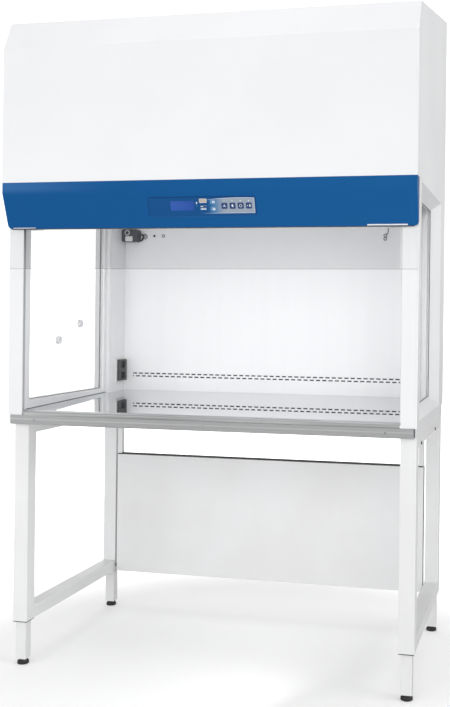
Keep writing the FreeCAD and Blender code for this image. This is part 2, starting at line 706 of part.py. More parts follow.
def diffuser_screen():
    half = COLUMN_INNER_X - SLIP
    y0 = FILTER_Y - SLIP
    y1 = BACK_WALL_Y + SHEET
    sheet = block(-half, half, y0, y1, SCREEN_Z, SCREEN_Z + SCREEN_SHEET)
    margin = SCREEN_SLOT_MARGIN
    span = (y1 - y0 - 2 * margin) / (SCREEN_SLOT_COUNT - 1)
    slots = []
    for i in range(SCREEN_SLOT_COUNT):
        y = y0 + margin + i * span
        slots.append(block(-half + margin, half - margin, y - SCREEN_SLOT / 2, y + SCREEN_SLOT / 2,
                           SCREEN_Z - 1, SCREEN_Z + 9))
    hangers = []
    for x in (-half, half - SHEET):
        hangers.append(block(x, x + SHEET, y0, y1, SCREEN_Z, FILTER_Z + FILTER_HEIGHT / 2))
    return fuse_all([cut_all(sheet, slots)] + hangers)


# Deck: the shelf across the hood that carries the blower and closes the plenum over the filter
def blower_deck():
    half = HALF - SHEET - SLIP
    y0 = FRONT + SHEET + SLIP
    deck = block(-half, half, y0, SKIN_Y - COVER_FLANGE / 2 - SLIP, DECK_Z, DECK_Z + DECK_SHEET)
    mouth = block(-BLOWER_WIDTH / 2 + 20, BLOWER_WIDTH / 2 - 20, blower_y() + 20, blower_y() + BLOWER_RADIUS,
                  DECK_Z - 1, DECK_Z + 9)
    flanges = []
    for x in (-half, half - DECK_SHEET):
        flanges.append(block(x, x + DECK_SHEET, y0, SKIN_Y - COVER_FLANGE, DECK_Z, DECK_Z + 2 * COVER_FLANGE))
    return fuse_all([deck.cut(mouth)] + flanges)


def blower_y():
    return FRONT + BLOWER_SETBACK


def blower_axis_z():
    return DECK_Z + DECK_SHEET + BLOWER_AXIS_RISE


def scroll_outline(inset):
    # volute in side view: quarter arcs of growing radius, then the outlet neck down to the deck
    y = blower_y()
    z = blower_axis_z()
    points = []
    steps = 24
    for i in range(steps + 1):
        turn = 1.5 * math.pi * i / steps
        radius = BLOWER_RADIUS - inset - BLOWER_GROWTH * (1 - turn / (1.5 * math.pi)) * 0.6
        points.append((y + radius * math.sin(turn + math.pi), z + radius * math.cos(turn + math.pi)))
    return points


def blower_housing():
    x = BLOWER_WIDTH / 2
    floor = DECK_Z + DECK_SHEET
    y = blower_y()
    scroll = prism_along_x(scroll_outline(0), -x, x)
    neck = block(-x, x, y, y + BLOWER_RADIUS, floor, blower_axis_z())
    w = BLOWER_WALL
    inner_scroll = prism_along_x(scroll_outline(w), -x + w, x - w)
    inner_neck = block(-x + w, x - w, y + w, y + BLOWER_RADIUS - w, floor - 1, blower_axis_z())
    shell = fuse_all([scroll, neck]).cut(fuse_all([inner_scroll, inner_neck]))
    inlet = cylinder_x(INLET_RADIUS, -x - 1, -x + w + 1, y, blower_axis_z())
    shaft_hole = cylinder_x(SHAFT_RADIUS + SHAFT_PLAY, x - w - 1, x + 1, y, blower_axis_z())
    ring = cylinder_x(INLET_RADIUS + 10, -x - 12, -x, y, blower_axis_z())
    ring = ring.cut(cylinder_x(INLET_RADIUS, -x - 13, -x + 1, y, blower_axis_z()))
    return fuse_all([shell.cut(inlet).cut(shaft_hole), ring])


def impeller():
    # forward-curved squirrel cage: two rims, a back plate with a hub, and thin curved blades
    x1 = IMPELLER_WIDTH / 2
    x0 = -x1
    y = blower_y()
    z = blower_axis_z()
    plate = cylinder_x(IMPELLER_RADIUS, x1 - 3, x1, y, z)
    rim = cylinder_x(IMPELLER_RADIUS, x0, x0 + 3, y, z).cut(cylinder_x(INLET_RADIUS - 4, x0 - 1, x0 + 4, y, z))
    hub = cylinder_x(3 * SHAFT_RADIUS, x1 - 40, x1, y, z)
    shaft = cylinder_x(SHAFT_RADIUS, x1 - 40, BLOWER_WIDTH / 2 + 20, y, z)
    blades = []
    for i in range(IMPELLER_BLADES):
        blade = block(x0, x1, -1.2, 1.2, IMPELLER_RADIUS - BLADE_CHORD - 1, IMPELLER_RADIUS - 2)
        blade.rotate(vec(0, 0, IMPELLER_RADIUS - BLADE_CHORD), vec(1, 0, 0), -18)
        blade.rotate(vec(0, 0, 0), vec(1, 0, 0), 360.0 * i / IMPELLER_BLADES)
        blade.translate(vec(0, y, z))
        blades.append(blade)
    limit = cylinder_x(IMPELLER_RADIUS, x0, x1 + 60, y, z)
    return fuse_all([plate, rim, hub, shaft] + blades).common(limit)


def blower_motor():
    x0 = BLOWER_WIDTH / 2
    y = blower_y()
    z = blower_axis_z()
    can = cylinder_x(MOTOR_RADIUS, x0 + SLIP, x0 + MOTOR_LENGTH, y, z)
    bore = cylinder_x(SHAFT_RADIUS + SHAFT_PLAY, x0 - 1, x0 + 24, y, z)
    stem = block(x0 + 20, x0 + MOTOR_LENGTH - 20, y - 20, y + 20, DECK_Z + DECK_SHEET, z - MOTOR_RADIUS + 6)
    foot = block(x0 + 8, x0 + MOTOR_LENGTH - 8, y - 45, y + 45, DECK_Z + DECK_SHEET, DECK_Z + DECK_SHEET + 4)
    return fuse_all([can, stem, foot]).cut(bore)


# Intake: a pad under a slotted grille, let into the sloping roof
def prefilter_pad():
    w = INTAKE_WIDTH / 2 - SLIP
    y0 = INTAKE_SETBACK + SLIP
    return on_roof(block(-w, w, y0, y0 + INTAKE_LENGTH - 2 * SLIP, -PREFILTER_THICKNESS, -SHEET))


def prefilter_grille():
    w = INTAKE_WIDTH / 2
    b = GRILLE_BORDER
    y0 = INTAKE_SETBACK
    y1 = y0 + INTAKE_LENGTH
    plate = block(-w - b, w + b, y0 - b, y1 + b, 0, GRILLE_SHEET)
    pitch = (INTAKE_LENGTH - GRILLE_BAR) / GRILLE_SLOTS
    slots = []
    for i in range(GRILLE_SLOTS):
        y = y0 + GRILLE_BAR + i * pitch
        slots.append(block(-w + b, -GRILLE_BAR / 2, y, y + pitch - GRILLE_BAR, -1, 9))
        slots.append(block(GRILLE_BAR / 2, w - b, y, y + pitch - GRILLE_BAR, -1, 9))
    return on_roof(cut_all(plate, slots))


# Lamp across the front of the chamber, in end holders on the side walls
def lamp_y():
    return FRONT + LAMP_SETBACK


def lamp_z():
    return CHAMBER_TOP - LAMP_DROP


def lamp_holders():
    x1 = WALL_INNER_X
    x0 = x1 - HOLDER_LENGTH
    y = lamp_y()
    z = lamp_z()
    top = z + HOLDER_HEIGHT - LAMP_RADIUS - 4
    holder = block(x0, x1, y - HOLDER_WIDTH / 2, y + HOLDER_WIDTH / 2, z - LAMP_RADIUS - 4, top)
    edges = [e for e in holder.Edges if abs(e.Vertexes[0].X - e.Vertexes[1].X) > HOLDER_LENGTH / 2]
    holder = holder.makeFillet(6.0, edges)
    holder = holder.cut(cylinder_x(LAMP_RADIUS + SLIP, x0 - 1, x0 + HOLDER_LENGTH / 3, y, z))
    return group([holder, mirrored(holder)])


def lamp_tube():
    half = WALL_INNER_X - HOLDER_LENGTH + HOLDER_LENGTH / 3 - SLIP
    return cylinder_x(LAMP_RADIUS, -half, half, lamp_y(), lamp_z())


# Germicidal lamp socket in the rear left corner, with its short lead and wall fittings
def uv_z():
    return CHAMBER_TOP - UV_DROP


def uv_box_x():
    return -COLUMN_INNER_X + SLIP


def grommet_x():
    return uv_box_x() + UV_BOX[0] + UV_LEAD_REACH


def uv_socket():
    x0 = uv_box_x()
    width, depth, height = UV_BOX
    y1 = BACK_WALL_Y
    z = uv_z()
    case = block(x0, x0 + width, y1 - depth, y1, z - height / 2, z + height / 2)
    edges = [e for e in case.Edges if abs(e.Vertexes[0].Y - e.Vertexes[1].Y) > depth / 2]
    case = case.makeFillet(UV_BOX_CORNER, edges)
    knob_x = x0 + width * UV_KNOB_PLACE
    knob = cylinder_y(UV_KNOB_RADIUS, y1 - depth - 8, y1 - depth, knob_x, z + height * 0.2)
    cup = cylinder_y(UV_KNOB_RADIUS - 4, y1 - depth - 9, y1 - depth - 4, knob_x, z + height * 0.2)
    return fuse_all([case, knob]).cut(cup)


def uv_lead():
    # straight out of the box, round one wide bend and square into the wall's grommet
    r = UV_LEAD_RADIUS
    reach = UV_LEAD_REACH
    bend = reach * 0.5
    x0 = uv_box_x() + UV_BOX[0]
    z = uv_z()
    y0 = BACK_WALL_Y - bend - GROMMET_DEPTH
    start = vec(x0, y0, z)
    knee = vec(x0 + reach - bend, y0, z)
    middle = vec(x0 + reach - bend + bend * math.sin(math.pi / 4), y0 + bend * (1 - math.cos(math.pi / 4)), z)
    end = vec(x0 + reach, y0 + bend, z)
    path = Part.Wire([Part.LineSegment(start, knee).toShape(), Part.Arc(knee, middle, end).toShape()])
    ring = Part.Wire(Part.Circle(start, vec(1, 0, 0), r).toShape())
    return path.makePipeShell([ring], True, False)


def wall_fittings():
    z = uv_z()
    y = BACK_WALL_Y
    ring = cylinder_y(GROMMET_RADIUS, y - GROMMET_DEPTH, y, grommet_x(), z)
    ring = ring.cut(cylinder_y(GROMMET_RADIUS - 4, y - GROMMET_DEPTH - 1, y - GROMMET_DEPTH + 2, grommet_x(), z))
    stud = cylinder_y(GROMMET_RADIUS / 2, y - GROMMET_DEPTH, y, grommet_x() + 3.3 * GROMMET_RADIUS, z + 4)
    small = cylinder_y(GROMMET_RADIUS * 0.65, y - GROMMET_DEPTH / 2, y, grommet_x() + 6.5 * GROMMET_RADIUS, z + 4)
    clips = []
    for i in (0, 1):
        zc = z + CLIP_RAISE - i * (2 * CLIP_RADIUS + CLIP_WIRE)
        coil = cylinder_y(CLIP_RADIUS + CLIP_WIRE, y - 2 * CLIP_WIRE, y, CLIP_X, zc)
        coil = coil.cut(cylinder_y(CLIP_RADIUS - CLIP_WIRE, y - 2 * CLIP_WIRE - 1, y + 1, CLIP_X, zc))
        clips.append(coil)
    return group([ring, stud, small, fuse_all(clips)])


# Mains: a twin outlet on the rear left column, a control box in the hood and its inlet on the rear skin
def outlet_z():
    return WORKTOP_Z + OUTLET_RISE + OUTLET_HEIGHT / 2


def outlet_y():
    return BACK_WALL_Y - SLIP - OUTLET_WIDTH / 2


def outlet_plate():
    x0 = -COLUMN_INNER_X
    y = outlet_y()
    z = outlet_z()
    w = OUTLET_WIDTH / 2
    h = OUTLET_HEIGHT / 2
    plate = block(x0, x0 + OUTLET_PLATE, y - w, y + w, z - h, z + h)
    b = OUTLET_BORDER - SLIP
    return plate.cut(block(x0 - 1, x0 + OUTLET_PLATE + 1, y - w + b, y + w - b, z - h + b, z + h - b))


def outlet_sockets():
    x0 = -COLUMN_INNER_X
    y = outlet_y()
    z = outlet_z()
    b = OUTLET_BORDER
    w = OUTLET_WIDTH / 2 - b
    h = OUTLET_HEIGHT / 2 - b
    front = x0 + OUTLET_BODY + OUTLET_PLATE
    body = block(x0, front, y - w, y + w, z - h, z + h)
    mouths = [block(front - SOCKET_DEPTH, front + 1, y - SOCKET_WIDTH / 2, y + SOCKET_WIDTH / 2,
                    z + s * h / 2 - SOCKET_HEIGHT / 2, z + s * h / 2 + SOCKET_HEIGHT / 2) for s in (-1, 1)]
    return cut_all(body, mouths)


def inlet_z():
    return DECK_Z + INLET_RISE


def control_box():
    width, depth, height = CONTROL_BOX
    y1 = SKIN_Y - SLIP
    x0 = CONTROL_BOX_X - width / 2
    z0 = DECK_Z + DECK_SHEET
    box = block(x0, x0 + width, y1 - depth, y1, z0, z0 + height)
    edges = [e for e in box.Edges if abs(e.Vertexes[0].Z - e.Vertexes[1].Z) > height / 2]
    box = box.makeFillet(6.0, edges)
    w = CONTROL_BOX_WALL
    hollow = block(x0 + w, x0 + width - w, y1 - depth + w, y1 - w, z0 + w, z0 + height - w)
    z = inlet_z()
    pocket = block(CONTROL_BOX_X - INLET_PLATE_WIDTH / 2, CONTROL_BOX_X + INLET_PLATE_WIDTH / 2,
                   y1 - w - 1, y1 + 1, z - INLET_PLATE_HEIGHT / 2, z + INLET_PLATE_HEIGHT / 2)
    return cut_all(box, [hollow, pocket])


def inlet_body_half():
    return (INLET_PLATE_WIDTH / 2 - INLET_RIM, INLET_PLATE_HEIGHT / 2 - INLET_RIM)


def power_inlet():
    z = inlet_z()
    x = CONTROL_BOX_X
    w, h = inlet_body_half()
    w -= SLIP
    h -= SLIP
    body = block(x - w, x + w, BACK - INLET_MOUTH_DEPTH - INLET_FLOOR, BACK, z - h, z + h)
    lower = z - INLET_PLATE_HEIGHT / 6
    mouth = block(x - INLET_MOUTH_WIDTH / 2, x + INLET_MOUTH_WIDTH / 2, BACK - INLET_MOUTH_DEPTH, BACK + 3,
                  lower - INLET_MOUTH_HEIGHT / 2, lower + INLET_MOUTH_HEIGHT / 2)
    upper = z + INLET_PLATE_HEIGHT / 4
    switch = block(x - INLET_MOUTH_WIDTH / 2, x + INLET_MOUTH_WIDTH / 2, BACK - SHEET * 2, BACK + 3,
                   upper - INLET_SWITCH_HEIGHT / 2, upper + INLET_SWITCH_HEIGHT / 2)
    return cut_all(body, [mouth, switch])


# Stand: welded side frames of square tube, telescopic inner legs, levelling feet and a rear panel
def square_tube(side, wall, x, y, z0, z1):
    outer = block(x - side / 2, x + side / 2, y - side / 2, y + side / 2, z0, z1)
    r = side / 2 - wall
    return outer, block(x - r, x + r, y - r, y + r, z0 - 1, z1 - wall)


def side_frame():
    shapes = []
    bores = []
    for y in (FRONT_LEG_Y, REAR_LEG_Y):
        outer, bore = square_tube(TUBE, TUBE_WALL, LEG_X, y, LEG_BOTTOM, STAND_TOP)
        shapes.append(outer)
        bores.append(bore)
    y0 = FRONT_LEG_Y + TUBE / 2
    y1 = REAR_LEG_Y - TUBE / 2
    w = TUBE / 2
    t = TUBE_WALL
    for z0, z1 in ((STAND_TOP - TOP_RAIL_HEIGHT, STAND_TOP), (LEG_BOTTOM, LEG_BOTTOM + LOW_RAIL_HEIGHT)):
        shapes.append(block(LEG_X - w, LEG_X + w, y0, y1, z0, z1))
        bores.append(block(LEG_X - w + t, LEG_X + w - t, y0 - t - 1, y1 + t + 1, z0 + t, z1 - t))
    return cut_all(fuse_all(shapes), bores)


def leg_glide(x, y):
    bore = (INNER_TUBE + 2 * GLIDE_PLAY) / 2
    outer = TUBE / 2 - TUBE_WALL - GLIDE_PLAY
    sleeve = block(x - outer, x + outer, y - outer, y + outer, LEG_BOTTOM, LEG_BOTTOM + GLIDE_HEIGHT)
    lip = block(x - TUBE / 2 + 1, x + TUBE / 2 - 1, y - TUBE / 2 + 1, y + TUBE / 2 - 1,
                LEG_BOTTOM - GLIDE_LIP, LEG_BOTTOM)
    hole = block(x - bore, x + bore, y - bore, y + bore, LEG_BOTTOM - GLIDE_LIP - 1, LEG_BOTTOM + GLIDE_HEIGHT + 1)
    return fuse_all([sleeve, lip]).cut(hole)


def leg_places():
    return (("front_left", -LEG_X, FRONT_LEG_Y), ("front_right", LEG_X, FRONT_LEG_Y),
            ("rear_left", -LEG_X, REAR_LEG_Y), ("rear_right", LEG_X, REAR_LEG_Y))


def inner_leg(x, y):
    z0 = FOOT_HEIGHT + FOOT_GAP
    top = LEG_BOTTOM + INNER_TOP_COVER
    tube = block(x - INNER_TUBE / 2, x + INNER_TUBE / 2, y - INNER_TUBE / 2, y + INNER_TUBE / 2, z0, top)
    r = INNER_TUBE / 2 - INNER_WALL
    tube = tube.cut(block(x - r, x + r, y - r, y + r, z0 + NUT_PLATE, top + 1))
    return tube.cut(cylinder_z(STEM_RADIUS + STEM_PLAY, z0 - 1, z0 + NUT_PLATE + 1, x, y))


def levelling_foot(x, y):
    base = FOOT_HEIGHT * 0.45
    pad = cylinder_z(FOOT_RADIUS, 0, base, x, y)
    cone = Part.makeCone(FOOT_RADIUS, FOOT_RADIUS * 0.72, FOOT_HEIGHT - base, vec(x, y, base), vec(0, 0, 1))
    stem = cylinder_z(STEM_RADIUS, FOOT_HEIGHT - 1, FOOT_HEIGHT + STEM_LENGTH, x, y)
    return fuse_all([pad, cone, stem])


def panel_half():
    return LEG_X - TUBE / 2 - PANEL_SIDE_GAP


def rear_panel():
    half = panel_half()
    y0 = REAR_LEG_Y - TUBE / 2 - REAR_PANEL_PROUD
    y1 = y0 + REAR_PANEL_DEPTH
    z0 = LEG_BOTTOM
    z1 = z0 + REAR_PANEL_HEIGHT
    t = SHEET
    face = block(-half, half, y0, y0 + t, z0, z1)
    pieces = [face, block(-half, half, y0, y1, z0, z0 + t), block(-half, half, y0, y1, z1 - t, z1)]
    for s in (-1, 1):
        x_out = s * half
        x_in = s * (half - TAB_WIDTH)
        pieces.append(block(min(x_out, x_out - s * t), max(x_out, x_out - s * t), y0, y1, z0, z1))
        pieces.append(block(min(x_out, x_in), max(x_out, x_in), y0, y0 + t, z1 - t, STAND_TOP))
        pieces.append(block(min(x_in, x_in + s * t), max(x_in, x_in + s * t), y0, y0 + TAB_DEPTH, z1 - t, STAND_TOP))
        pieces.append(block(min(x_out, x_out - s * t), max(x_out, x_out - s * t), y0, y0 + TAB_DEPTH,
                            z1 - t, STAND_TOP))
    return fuse_all(pieces)


def stand_bolts():
    # spacers that hold the rear panel off the legs, and bolt heads on the outer faces of the top rails
    bolts = []
    spacer_y = REAR_LEG_Y - TUBE / 2 + TAB_DEPTH / 2
    leg_face = LEG_X - TUBE / 2
    for z in (LEG_BOTTOM + LOW_RAIL_HEIGHT / 2, STAND_TOP - TOP_RAIL_HEIGHT / 2):
        spacer = cylinder_x(SPACER_RADIUS, panel_half(), leg_face, spacer_y, z)
        bolts += [spacer, mirrored(spacer)]
    rail_z = STAND_TOP - RAIL_BOLT_DROP
    side_x = LEG_X + TUBE / 2
    for y in (FRONT_LEG_Y + RAIL_BOLT_FRONT, REAR_LEG_Y - RAIL_BOLT_REAR):
        head = cylinder_x(BOLT_HEAD_RADIUS, side_x, side_x + BOLT_HEAD_HEIGHT, y, rail_z)
        bolts += [head, mirrored(head)]
    return group(bolts)


def all_parts():
    parts = {
        "side_panel_right": side_panel(),
        "side_panel_left": mirrored(side_panel()),
        "side_glasses": side_glasses(),
        "liner_seals": liner_seals(),
        "service_plugs": service_plugs(),
        "hood_side_right": hood_side(),
        "hood_side_left": mirrored(hood_side()),
        "hood_front_cover": hood_front_cover(),
        "hood_top_cover": hood_top_cover(),
        "rear_skin": rear_skin(),
        "fascia": fascia(),
        "fascia_brackets": fascia_brackets(),
        "control_overlay": control_overlay(),
        "display_window": display_window(),
        "status_leds": status_leds(),
        "control_board": control_board(),
        "front_sash": front_sash(),
        "base_frame": base_frame(),
        "worktop": worktop(),
        "front_trim": front_trim(),
        "worktop_screws": worktop_screws(),
        "back_wall": back_wall(),
        "filter_frame": filter_frame(),
        "filter_media": filter_media(),
        "diffuser_screen": diffuser_screen(),
        "blower_deck": blower_deck(),
        "blower_housing": blower_housing(),
        "impeller": impeller(),
        "blower_motor": blower_motor(),
        "prefilter_pad": prefilter_pad(),
        "prefilter_grille": prefilter_grille(),
        "lamp_holders": lamp_holders(),
        "lamp_tube": lamp_tube(),
        "uv_socket": uv_socket(),
        "uv_lead": uv_lead(),
        "wall_fittings": wall_fittings(),
        "outlet_plate": outlet_plate(),
        "outlet_sockets": outlet_sockets(),
        "control_box": control_box(),
        "power_inlet": power_inlet(),
        "side_frame_right": side_frame(),
        "side_frame_left": mirrored(side_frame()),
        "leg_glides": group([leg_glide(x, y) for name, x, y in leg_places()]),
        "rear_panel": rear_panel(),
        "stand_bolts": stand_bolts(),
    }
    for name, x, drop, width, height in key_places():
        parts[name] = control_key(x, drop, width, height)
    for name, x, y in leg_places():
        parts["inner_leg_" + name] = inner_leg(x, y)
        parts["foot_" + name] = levelling_foot(x, y)
    return parts


os.makedirs("parts", exist_ok=True)
for node, shape in all_parts().items():
    shape.exportStep("parts/" + node + ".step")
    print(node, len(shape.Solids), round(shape.Volume / 1000.0, 1), shape.isValid())
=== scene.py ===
import math

import bmesh
import bpy
from mathutils import Matrix, Vector


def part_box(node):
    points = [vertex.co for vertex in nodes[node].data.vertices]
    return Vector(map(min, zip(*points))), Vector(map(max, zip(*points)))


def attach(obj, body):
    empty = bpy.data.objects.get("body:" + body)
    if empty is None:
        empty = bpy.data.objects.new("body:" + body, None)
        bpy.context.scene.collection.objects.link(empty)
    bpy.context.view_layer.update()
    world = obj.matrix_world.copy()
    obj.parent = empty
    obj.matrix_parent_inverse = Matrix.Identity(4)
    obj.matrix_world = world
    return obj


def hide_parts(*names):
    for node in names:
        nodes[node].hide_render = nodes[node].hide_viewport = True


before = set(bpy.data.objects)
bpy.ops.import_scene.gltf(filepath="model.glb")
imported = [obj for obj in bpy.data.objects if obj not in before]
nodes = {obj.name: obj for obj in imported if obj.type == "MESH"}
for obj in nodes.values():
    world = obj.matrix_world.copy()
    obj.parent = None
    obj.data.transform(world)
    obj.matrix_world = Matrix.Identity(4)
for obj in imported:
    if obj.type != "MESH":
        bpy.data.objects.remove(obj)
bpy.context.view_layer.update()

# The camera stands to the right of the cabinet and level with the chamber, at the photograph's viewpoint.
# Its lens axis lies right of the picture's middle, as in a frame cut from a wider one.
CAMERA_PLACE = (1.0275, -3.2199, 1.1602)
CAMERA_TURN = math.radians(12.26)
CAMERA_DIP = math.radians(0.09)
CAMERA_ROLL = math.radians(0.66)
CAMERA_LENS = 49.35
CAMERA_SHIFT = (-0.150, -0.050)

camera = bpy.data.objects.new("camera", bpy.data.cameras.new("camera"))
camera.data.lens = CAMERA_LENS
camera.data.shift_x, camera.data.shift_y = CAMERA_SHIFT
camera.matrix_world = (
    Matrix.Translation(CAMERA_PLACE)
    @ Matrix.Rotation(CAMERA_TURN, 4, "Z")
    @ Matrix.Rotation(math.pi / 2 - CAMERA_DIP, 4, "X")
    @ Matrix.Rotation(CAMERA_ROLL, 4, "Z")
)
bpy.context.scene.collection.objects.link(camera)
bpy.context.scene.camera = camera
bpy.context.scene.view_settings.view_transform = "Standard"


# The studio is a plain white floor under a white sky. Wide soft lamps stand round the cabinet, and small ones in
# the chamber and under the stand fill the shade. The far floor glows to the eye, so it stays as white as the sky.
FLOOR_SPAN = 60.0
FLOOR_COLOUR = (0.86, 0.86, 0.86, 1)
FLOOR_GLOW = 0.26
FLOOR_MIRRORED = 0.08
FAR_FLOOR_GLOW = 1.2
FAR_FLOOR_START = 0.75
FAR_FLOOR_END = 1.7
SKY_LIGHT = 0.40
SKY_SEEN = 1.45
SKY_MIRRORED = 0.5
SKY_FRONT_SHARE = 0.1
HIDDEN_IN_METAL = ("front", "chamber", "worktop glow", "under stand")
LAMPS = {
    "front": ((0.0, -4.6, 1.5), (0.0, 0.0, 0.95), (4.6, 2.8), 100),
    "right": ((4.2, -0.9, 2.8), (0.4, 0.0, 1.7), (2.6, 2.6), 45),
    "left": ((-2.6, -2.6, 1.4), (-0.4, 0.2, 1.2), (1.6, 1.6), 6),
    "overhead": ((0.0, -0.2, 4.8), (0.0, 0.0, 1.0), (3.6, 3.6), 46),
    "behind": ((-1.2, 4.0, 2.2), (0.0, 0.2, 1.2), (3.0, 2.4), 30),
    "under stand": ((0.30, -0.45, 0.40), (-0.64, 0.0, 0.45), (0.25, 0.5), 1.1),
    "worktop glow": ((0.0, 0.10, 0.880), (0.0, 0.386, 0.900), (1.05, 0.03), 0.32),
    "chamber": ((0.0, -0.30, 1.425), (0.0, 0.36, 1.15), (1.05, 0.05), 1.45),
}


class Wire:
    """A shader socket that can be used in sums, and that makes further nodes of its own tree."""

    def __init__(self, tree, socket=None):
        self.tree = tree
        self.socket = socket

    def node(self, kind, settings=None, inputs=None, output=0):
        made = self.tree.nodes.new(kind)
        for name, value in (settings or {}).items():
            setattr(made, name, value)
        for name, value in (inputs or {}).items():
            if isinstance(value, Wire):
                self.tree.links.new(value.socket, made.inputs[name])
            else:
                made.inputs[name].default_value = value
        return Wire(self.tree, made.outputs[output])

    def maths(self, operation, *others):
        return self.node("ShaderNodeMath", {"operation": operation}, dict(enumerate((self, *others))))

    def __add__(self, other):
        return self.maths("ADD", other)

    def __sub__(self, other):
        return self.maths("SUBTRACT", other)

    def __mul__(self, other):
        return self.maths("MULTIPLY", other)

    def __truediv__(self, other):
        return self.maths("DIVIDE", other)

    def __rsub__(self, other):
        return self.node("ShaderNodeMath", {"operation": "SUBTRACT"}, {0: other, 1: self})

    def __gt__(self, other):
        return self.maths("GREATER_THAN", other)

    def __lt__(self, other):
        return self.maths("LESS_THAN", other)

    __radd__ = __add__
    __rmul__ = __mul__

    def smooth_step(self, low, high):
        return self.node(
            "ShaderNodeMapRange",
            {"interpolation_type": "SMOOTHSTEP"},
            {"Value": self, "From Min": low, "From Max": high},
        )

    def axis(self, name):
        return self.node("ShaderNodeSeparateXYZ", None, {0: self}, name)

    def stretched(self, scale):
        return self.node("ShaderNodeMapping", None, {"Vector": self, "Scale": scale})

    def noise(self, scale, detail=2.0):
        return self.node("ShaderNodeTexNoise", None, {"Vector": self, "Scale": scale, "Detail": detail})

    def mixed(self, first, second):
        return self.node("ShaderNodeMix", {"data_type": "RGBA"}, {0: self, 6: first, 7: second}, 2)

    def bumps(self, distance, strength=1.0):
        return self.node("ShaderNodeBump", None, {"Height": self, "Distance": distance, "Strength": strength})


def start_material(name):
    material = bpy.data.materials.new(name)
    material.use_nodes = True
    tree = material.node_tree
    tree.nodes.clear()
    return material, Wire(tree)


def output_node(start, surface):
    made = start.tree.nodes.new("ShaderNodeOutputMaterial")
    start.tree.links.new(surface.socket, made.inputs["Surface"])


def seen_directly(start, mirrored):
    path = start.tree.nodes.new("ShaderNodeLightPath")
    camera_ray = Wire(start.tree, path.outputs["Is Camera Ray"])
    glossy_ray = Wire(start.tree, path.outputs["Is Glossy Ray"])
    clear_ray = Wire(start.tree, path.outputs["Is Transmission Ray"])
    return camera_ray + (glossy_ray + clear_ray) * mirrored


floor_finish, start = start_material("studio_floor")
spot = start.node("ShaderNodeTexCoord", output="Object")
away = spot.node("ShaderNodeVectorMath", {"operation": "LENGTH"}, {0: spot}, "Value")
# The glow is weaker near the cabinet, so the floor round and under it reads darker: a painted disc of shade.
far_off = away.smooth_step(FAR_FLOOR_START, FAR_FLOOR_END)
strength = seen_directly(start, FLOOR_MIRRORED) * (FLOOR_GLOW + far_off * FAR_FLOOR_GLOW)
glow = start.node("ShaderNodeEmission", None, {"Color": (1, 1, 1, 1), "Strength": strength})
matt = start.node("ShaderNodeBsdfDiffuse", None, {"Color": FLOOR_COLOUR})
output_node(start, start.node("ShaderNodeAddShader", None, {0: glow, 1: matt}))

floor_mesh = bpy.data.meshes.new("studio_floor")
reach = FLOOR_SPAN / 2
floor_corners = [(-reach, -reach, 0), (reach, -reach, 0), (reach, reach, 0), (-reach, reach, 0)]
floor_mesh.from_pydata(floor_corners, [], [(0, 1, 2, 3)])
floor_mesh.materials.append(floor_finish)
floor = bpy.data.objects.new("studio_floor", floor_mesh)
bpy.context.scene.collection.objects.link(floor)

world = bpy.data.worlds.new("studio_sky")
world.use_nodes = True
world.node_tree.nodes.clear()
sky = Wire(world.node_tree)
direction = sky.node("ShaderNodeTexCoord", output="Generated")
mirrored_share = SKY_FRONT_SHARE + direction.axis("Y").smooth_step(-0.8, 0.0) * (1 - SKY_FRONT_SHARE)
sky_level = SKY_LIGHT + seen_directly(sky, mirrored_share * SKY_MIRRORED) * (SKY_SEEN - SKY_LIGHT)
sky_light = sky.node("ShaderNodeBackground", None, {"Color": (1, 1, 1, 1), "Strength": sky_level})
sky_output = world.node_tree.nodes.new("ShaderNodeOutputWorld")
world.node_tree.links.new(sky_light.socket, sky_output.inputs["Surface"])
bpy.context.scene.world = world

for name, (place, target, size, power) in LAMPS.items():
    light = bpy.data.lights.new(name, "AREA")
    light.shape = "RECTANGLE"
    light.size, light.size_y = size
    light.energy = power
    lamp = bpy.data.objects.new(name, light)
    lamp.visible_glossy = name not in HIDDEN_IN_METAL
    aim = Vector(target) - Vector(place)
    lamp.matrix_world = Matrix.Translation(place) @ aim.to_track_quat("-Z", "Y").to_matrix().to_4x4()
    bpy.context.scene.collection.objects.link(lamp)


# The stand is welded square tube, powder-coated an off-white, on legs of smaller tube that slide inside it.
# Its corners are rolled, the coat has a fine orange peel, and faint clouds of dust lie on it at random.
COAT_COLOUR = (0.86, 0.865, 0.87, 1)
COAT_DUST = (0.82, 0.82, 0.82, 1)
COAT_PEEL = 0.00012
COAT_PEEL_SCALE = 420.0
TUBE_CORNER = 0.0012
PANEL_CORNER = 0.0006
SHARP_FOLD = math.radians(35)
MERGE_GAP = 0.00001


def surface(start, settings):
    shader = start.node("ShaderNodeBsdfPrincipled", None, settings)
    output_node(start, shader)


def object_place(start):
    return start.node("ShaderNodeTexCoord", output="Object")


def dress(material, *names):
    for name in names:
        mesh = nodes[name].data
        mesh.materials.clear()
        mesh.materials.append(material)


def add_piece(name, maker, material, body, smooth=False):
    """Makes an object from a bmesh whose points are already in place, and fixes it to a body."""
    mesh = bpy.data.meshes.new(name)
    maker.to_mesh(mesh)
    maker.free()
    mesh.materials.append(material)
    for face in mesh.polygons:
        face.use_smooth = smooth
    piece = bpy.data.objects.new(name, mesh)
    bpy.context.scene.collection.objects.link(piece)
    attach(piece, body)
    return piece


def eased(name, material, body, width):
    """Stands a copy with rounded edges in a folded or welded node's place."""
    maker = bmesh.new()
    maker.from_mesh(nodes[name].data)
    bmesh.ops.remove_doubles(maker, verts=maker.verts, dist=MERGE_GAP)
    corners = [e for e in maker.edges if len(e.link_faces) == 2 and e.calc_face_angle() > SHARP_FOLD]
    bmesh.ops.bevel(maker, geom=corners, offset=width, segments=2, profile=0.6, affect="EDGES", clamp_overlap=True)
    piece = add_piece(name + "_eased", maker, material, body)
    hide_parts(name)
    return piece


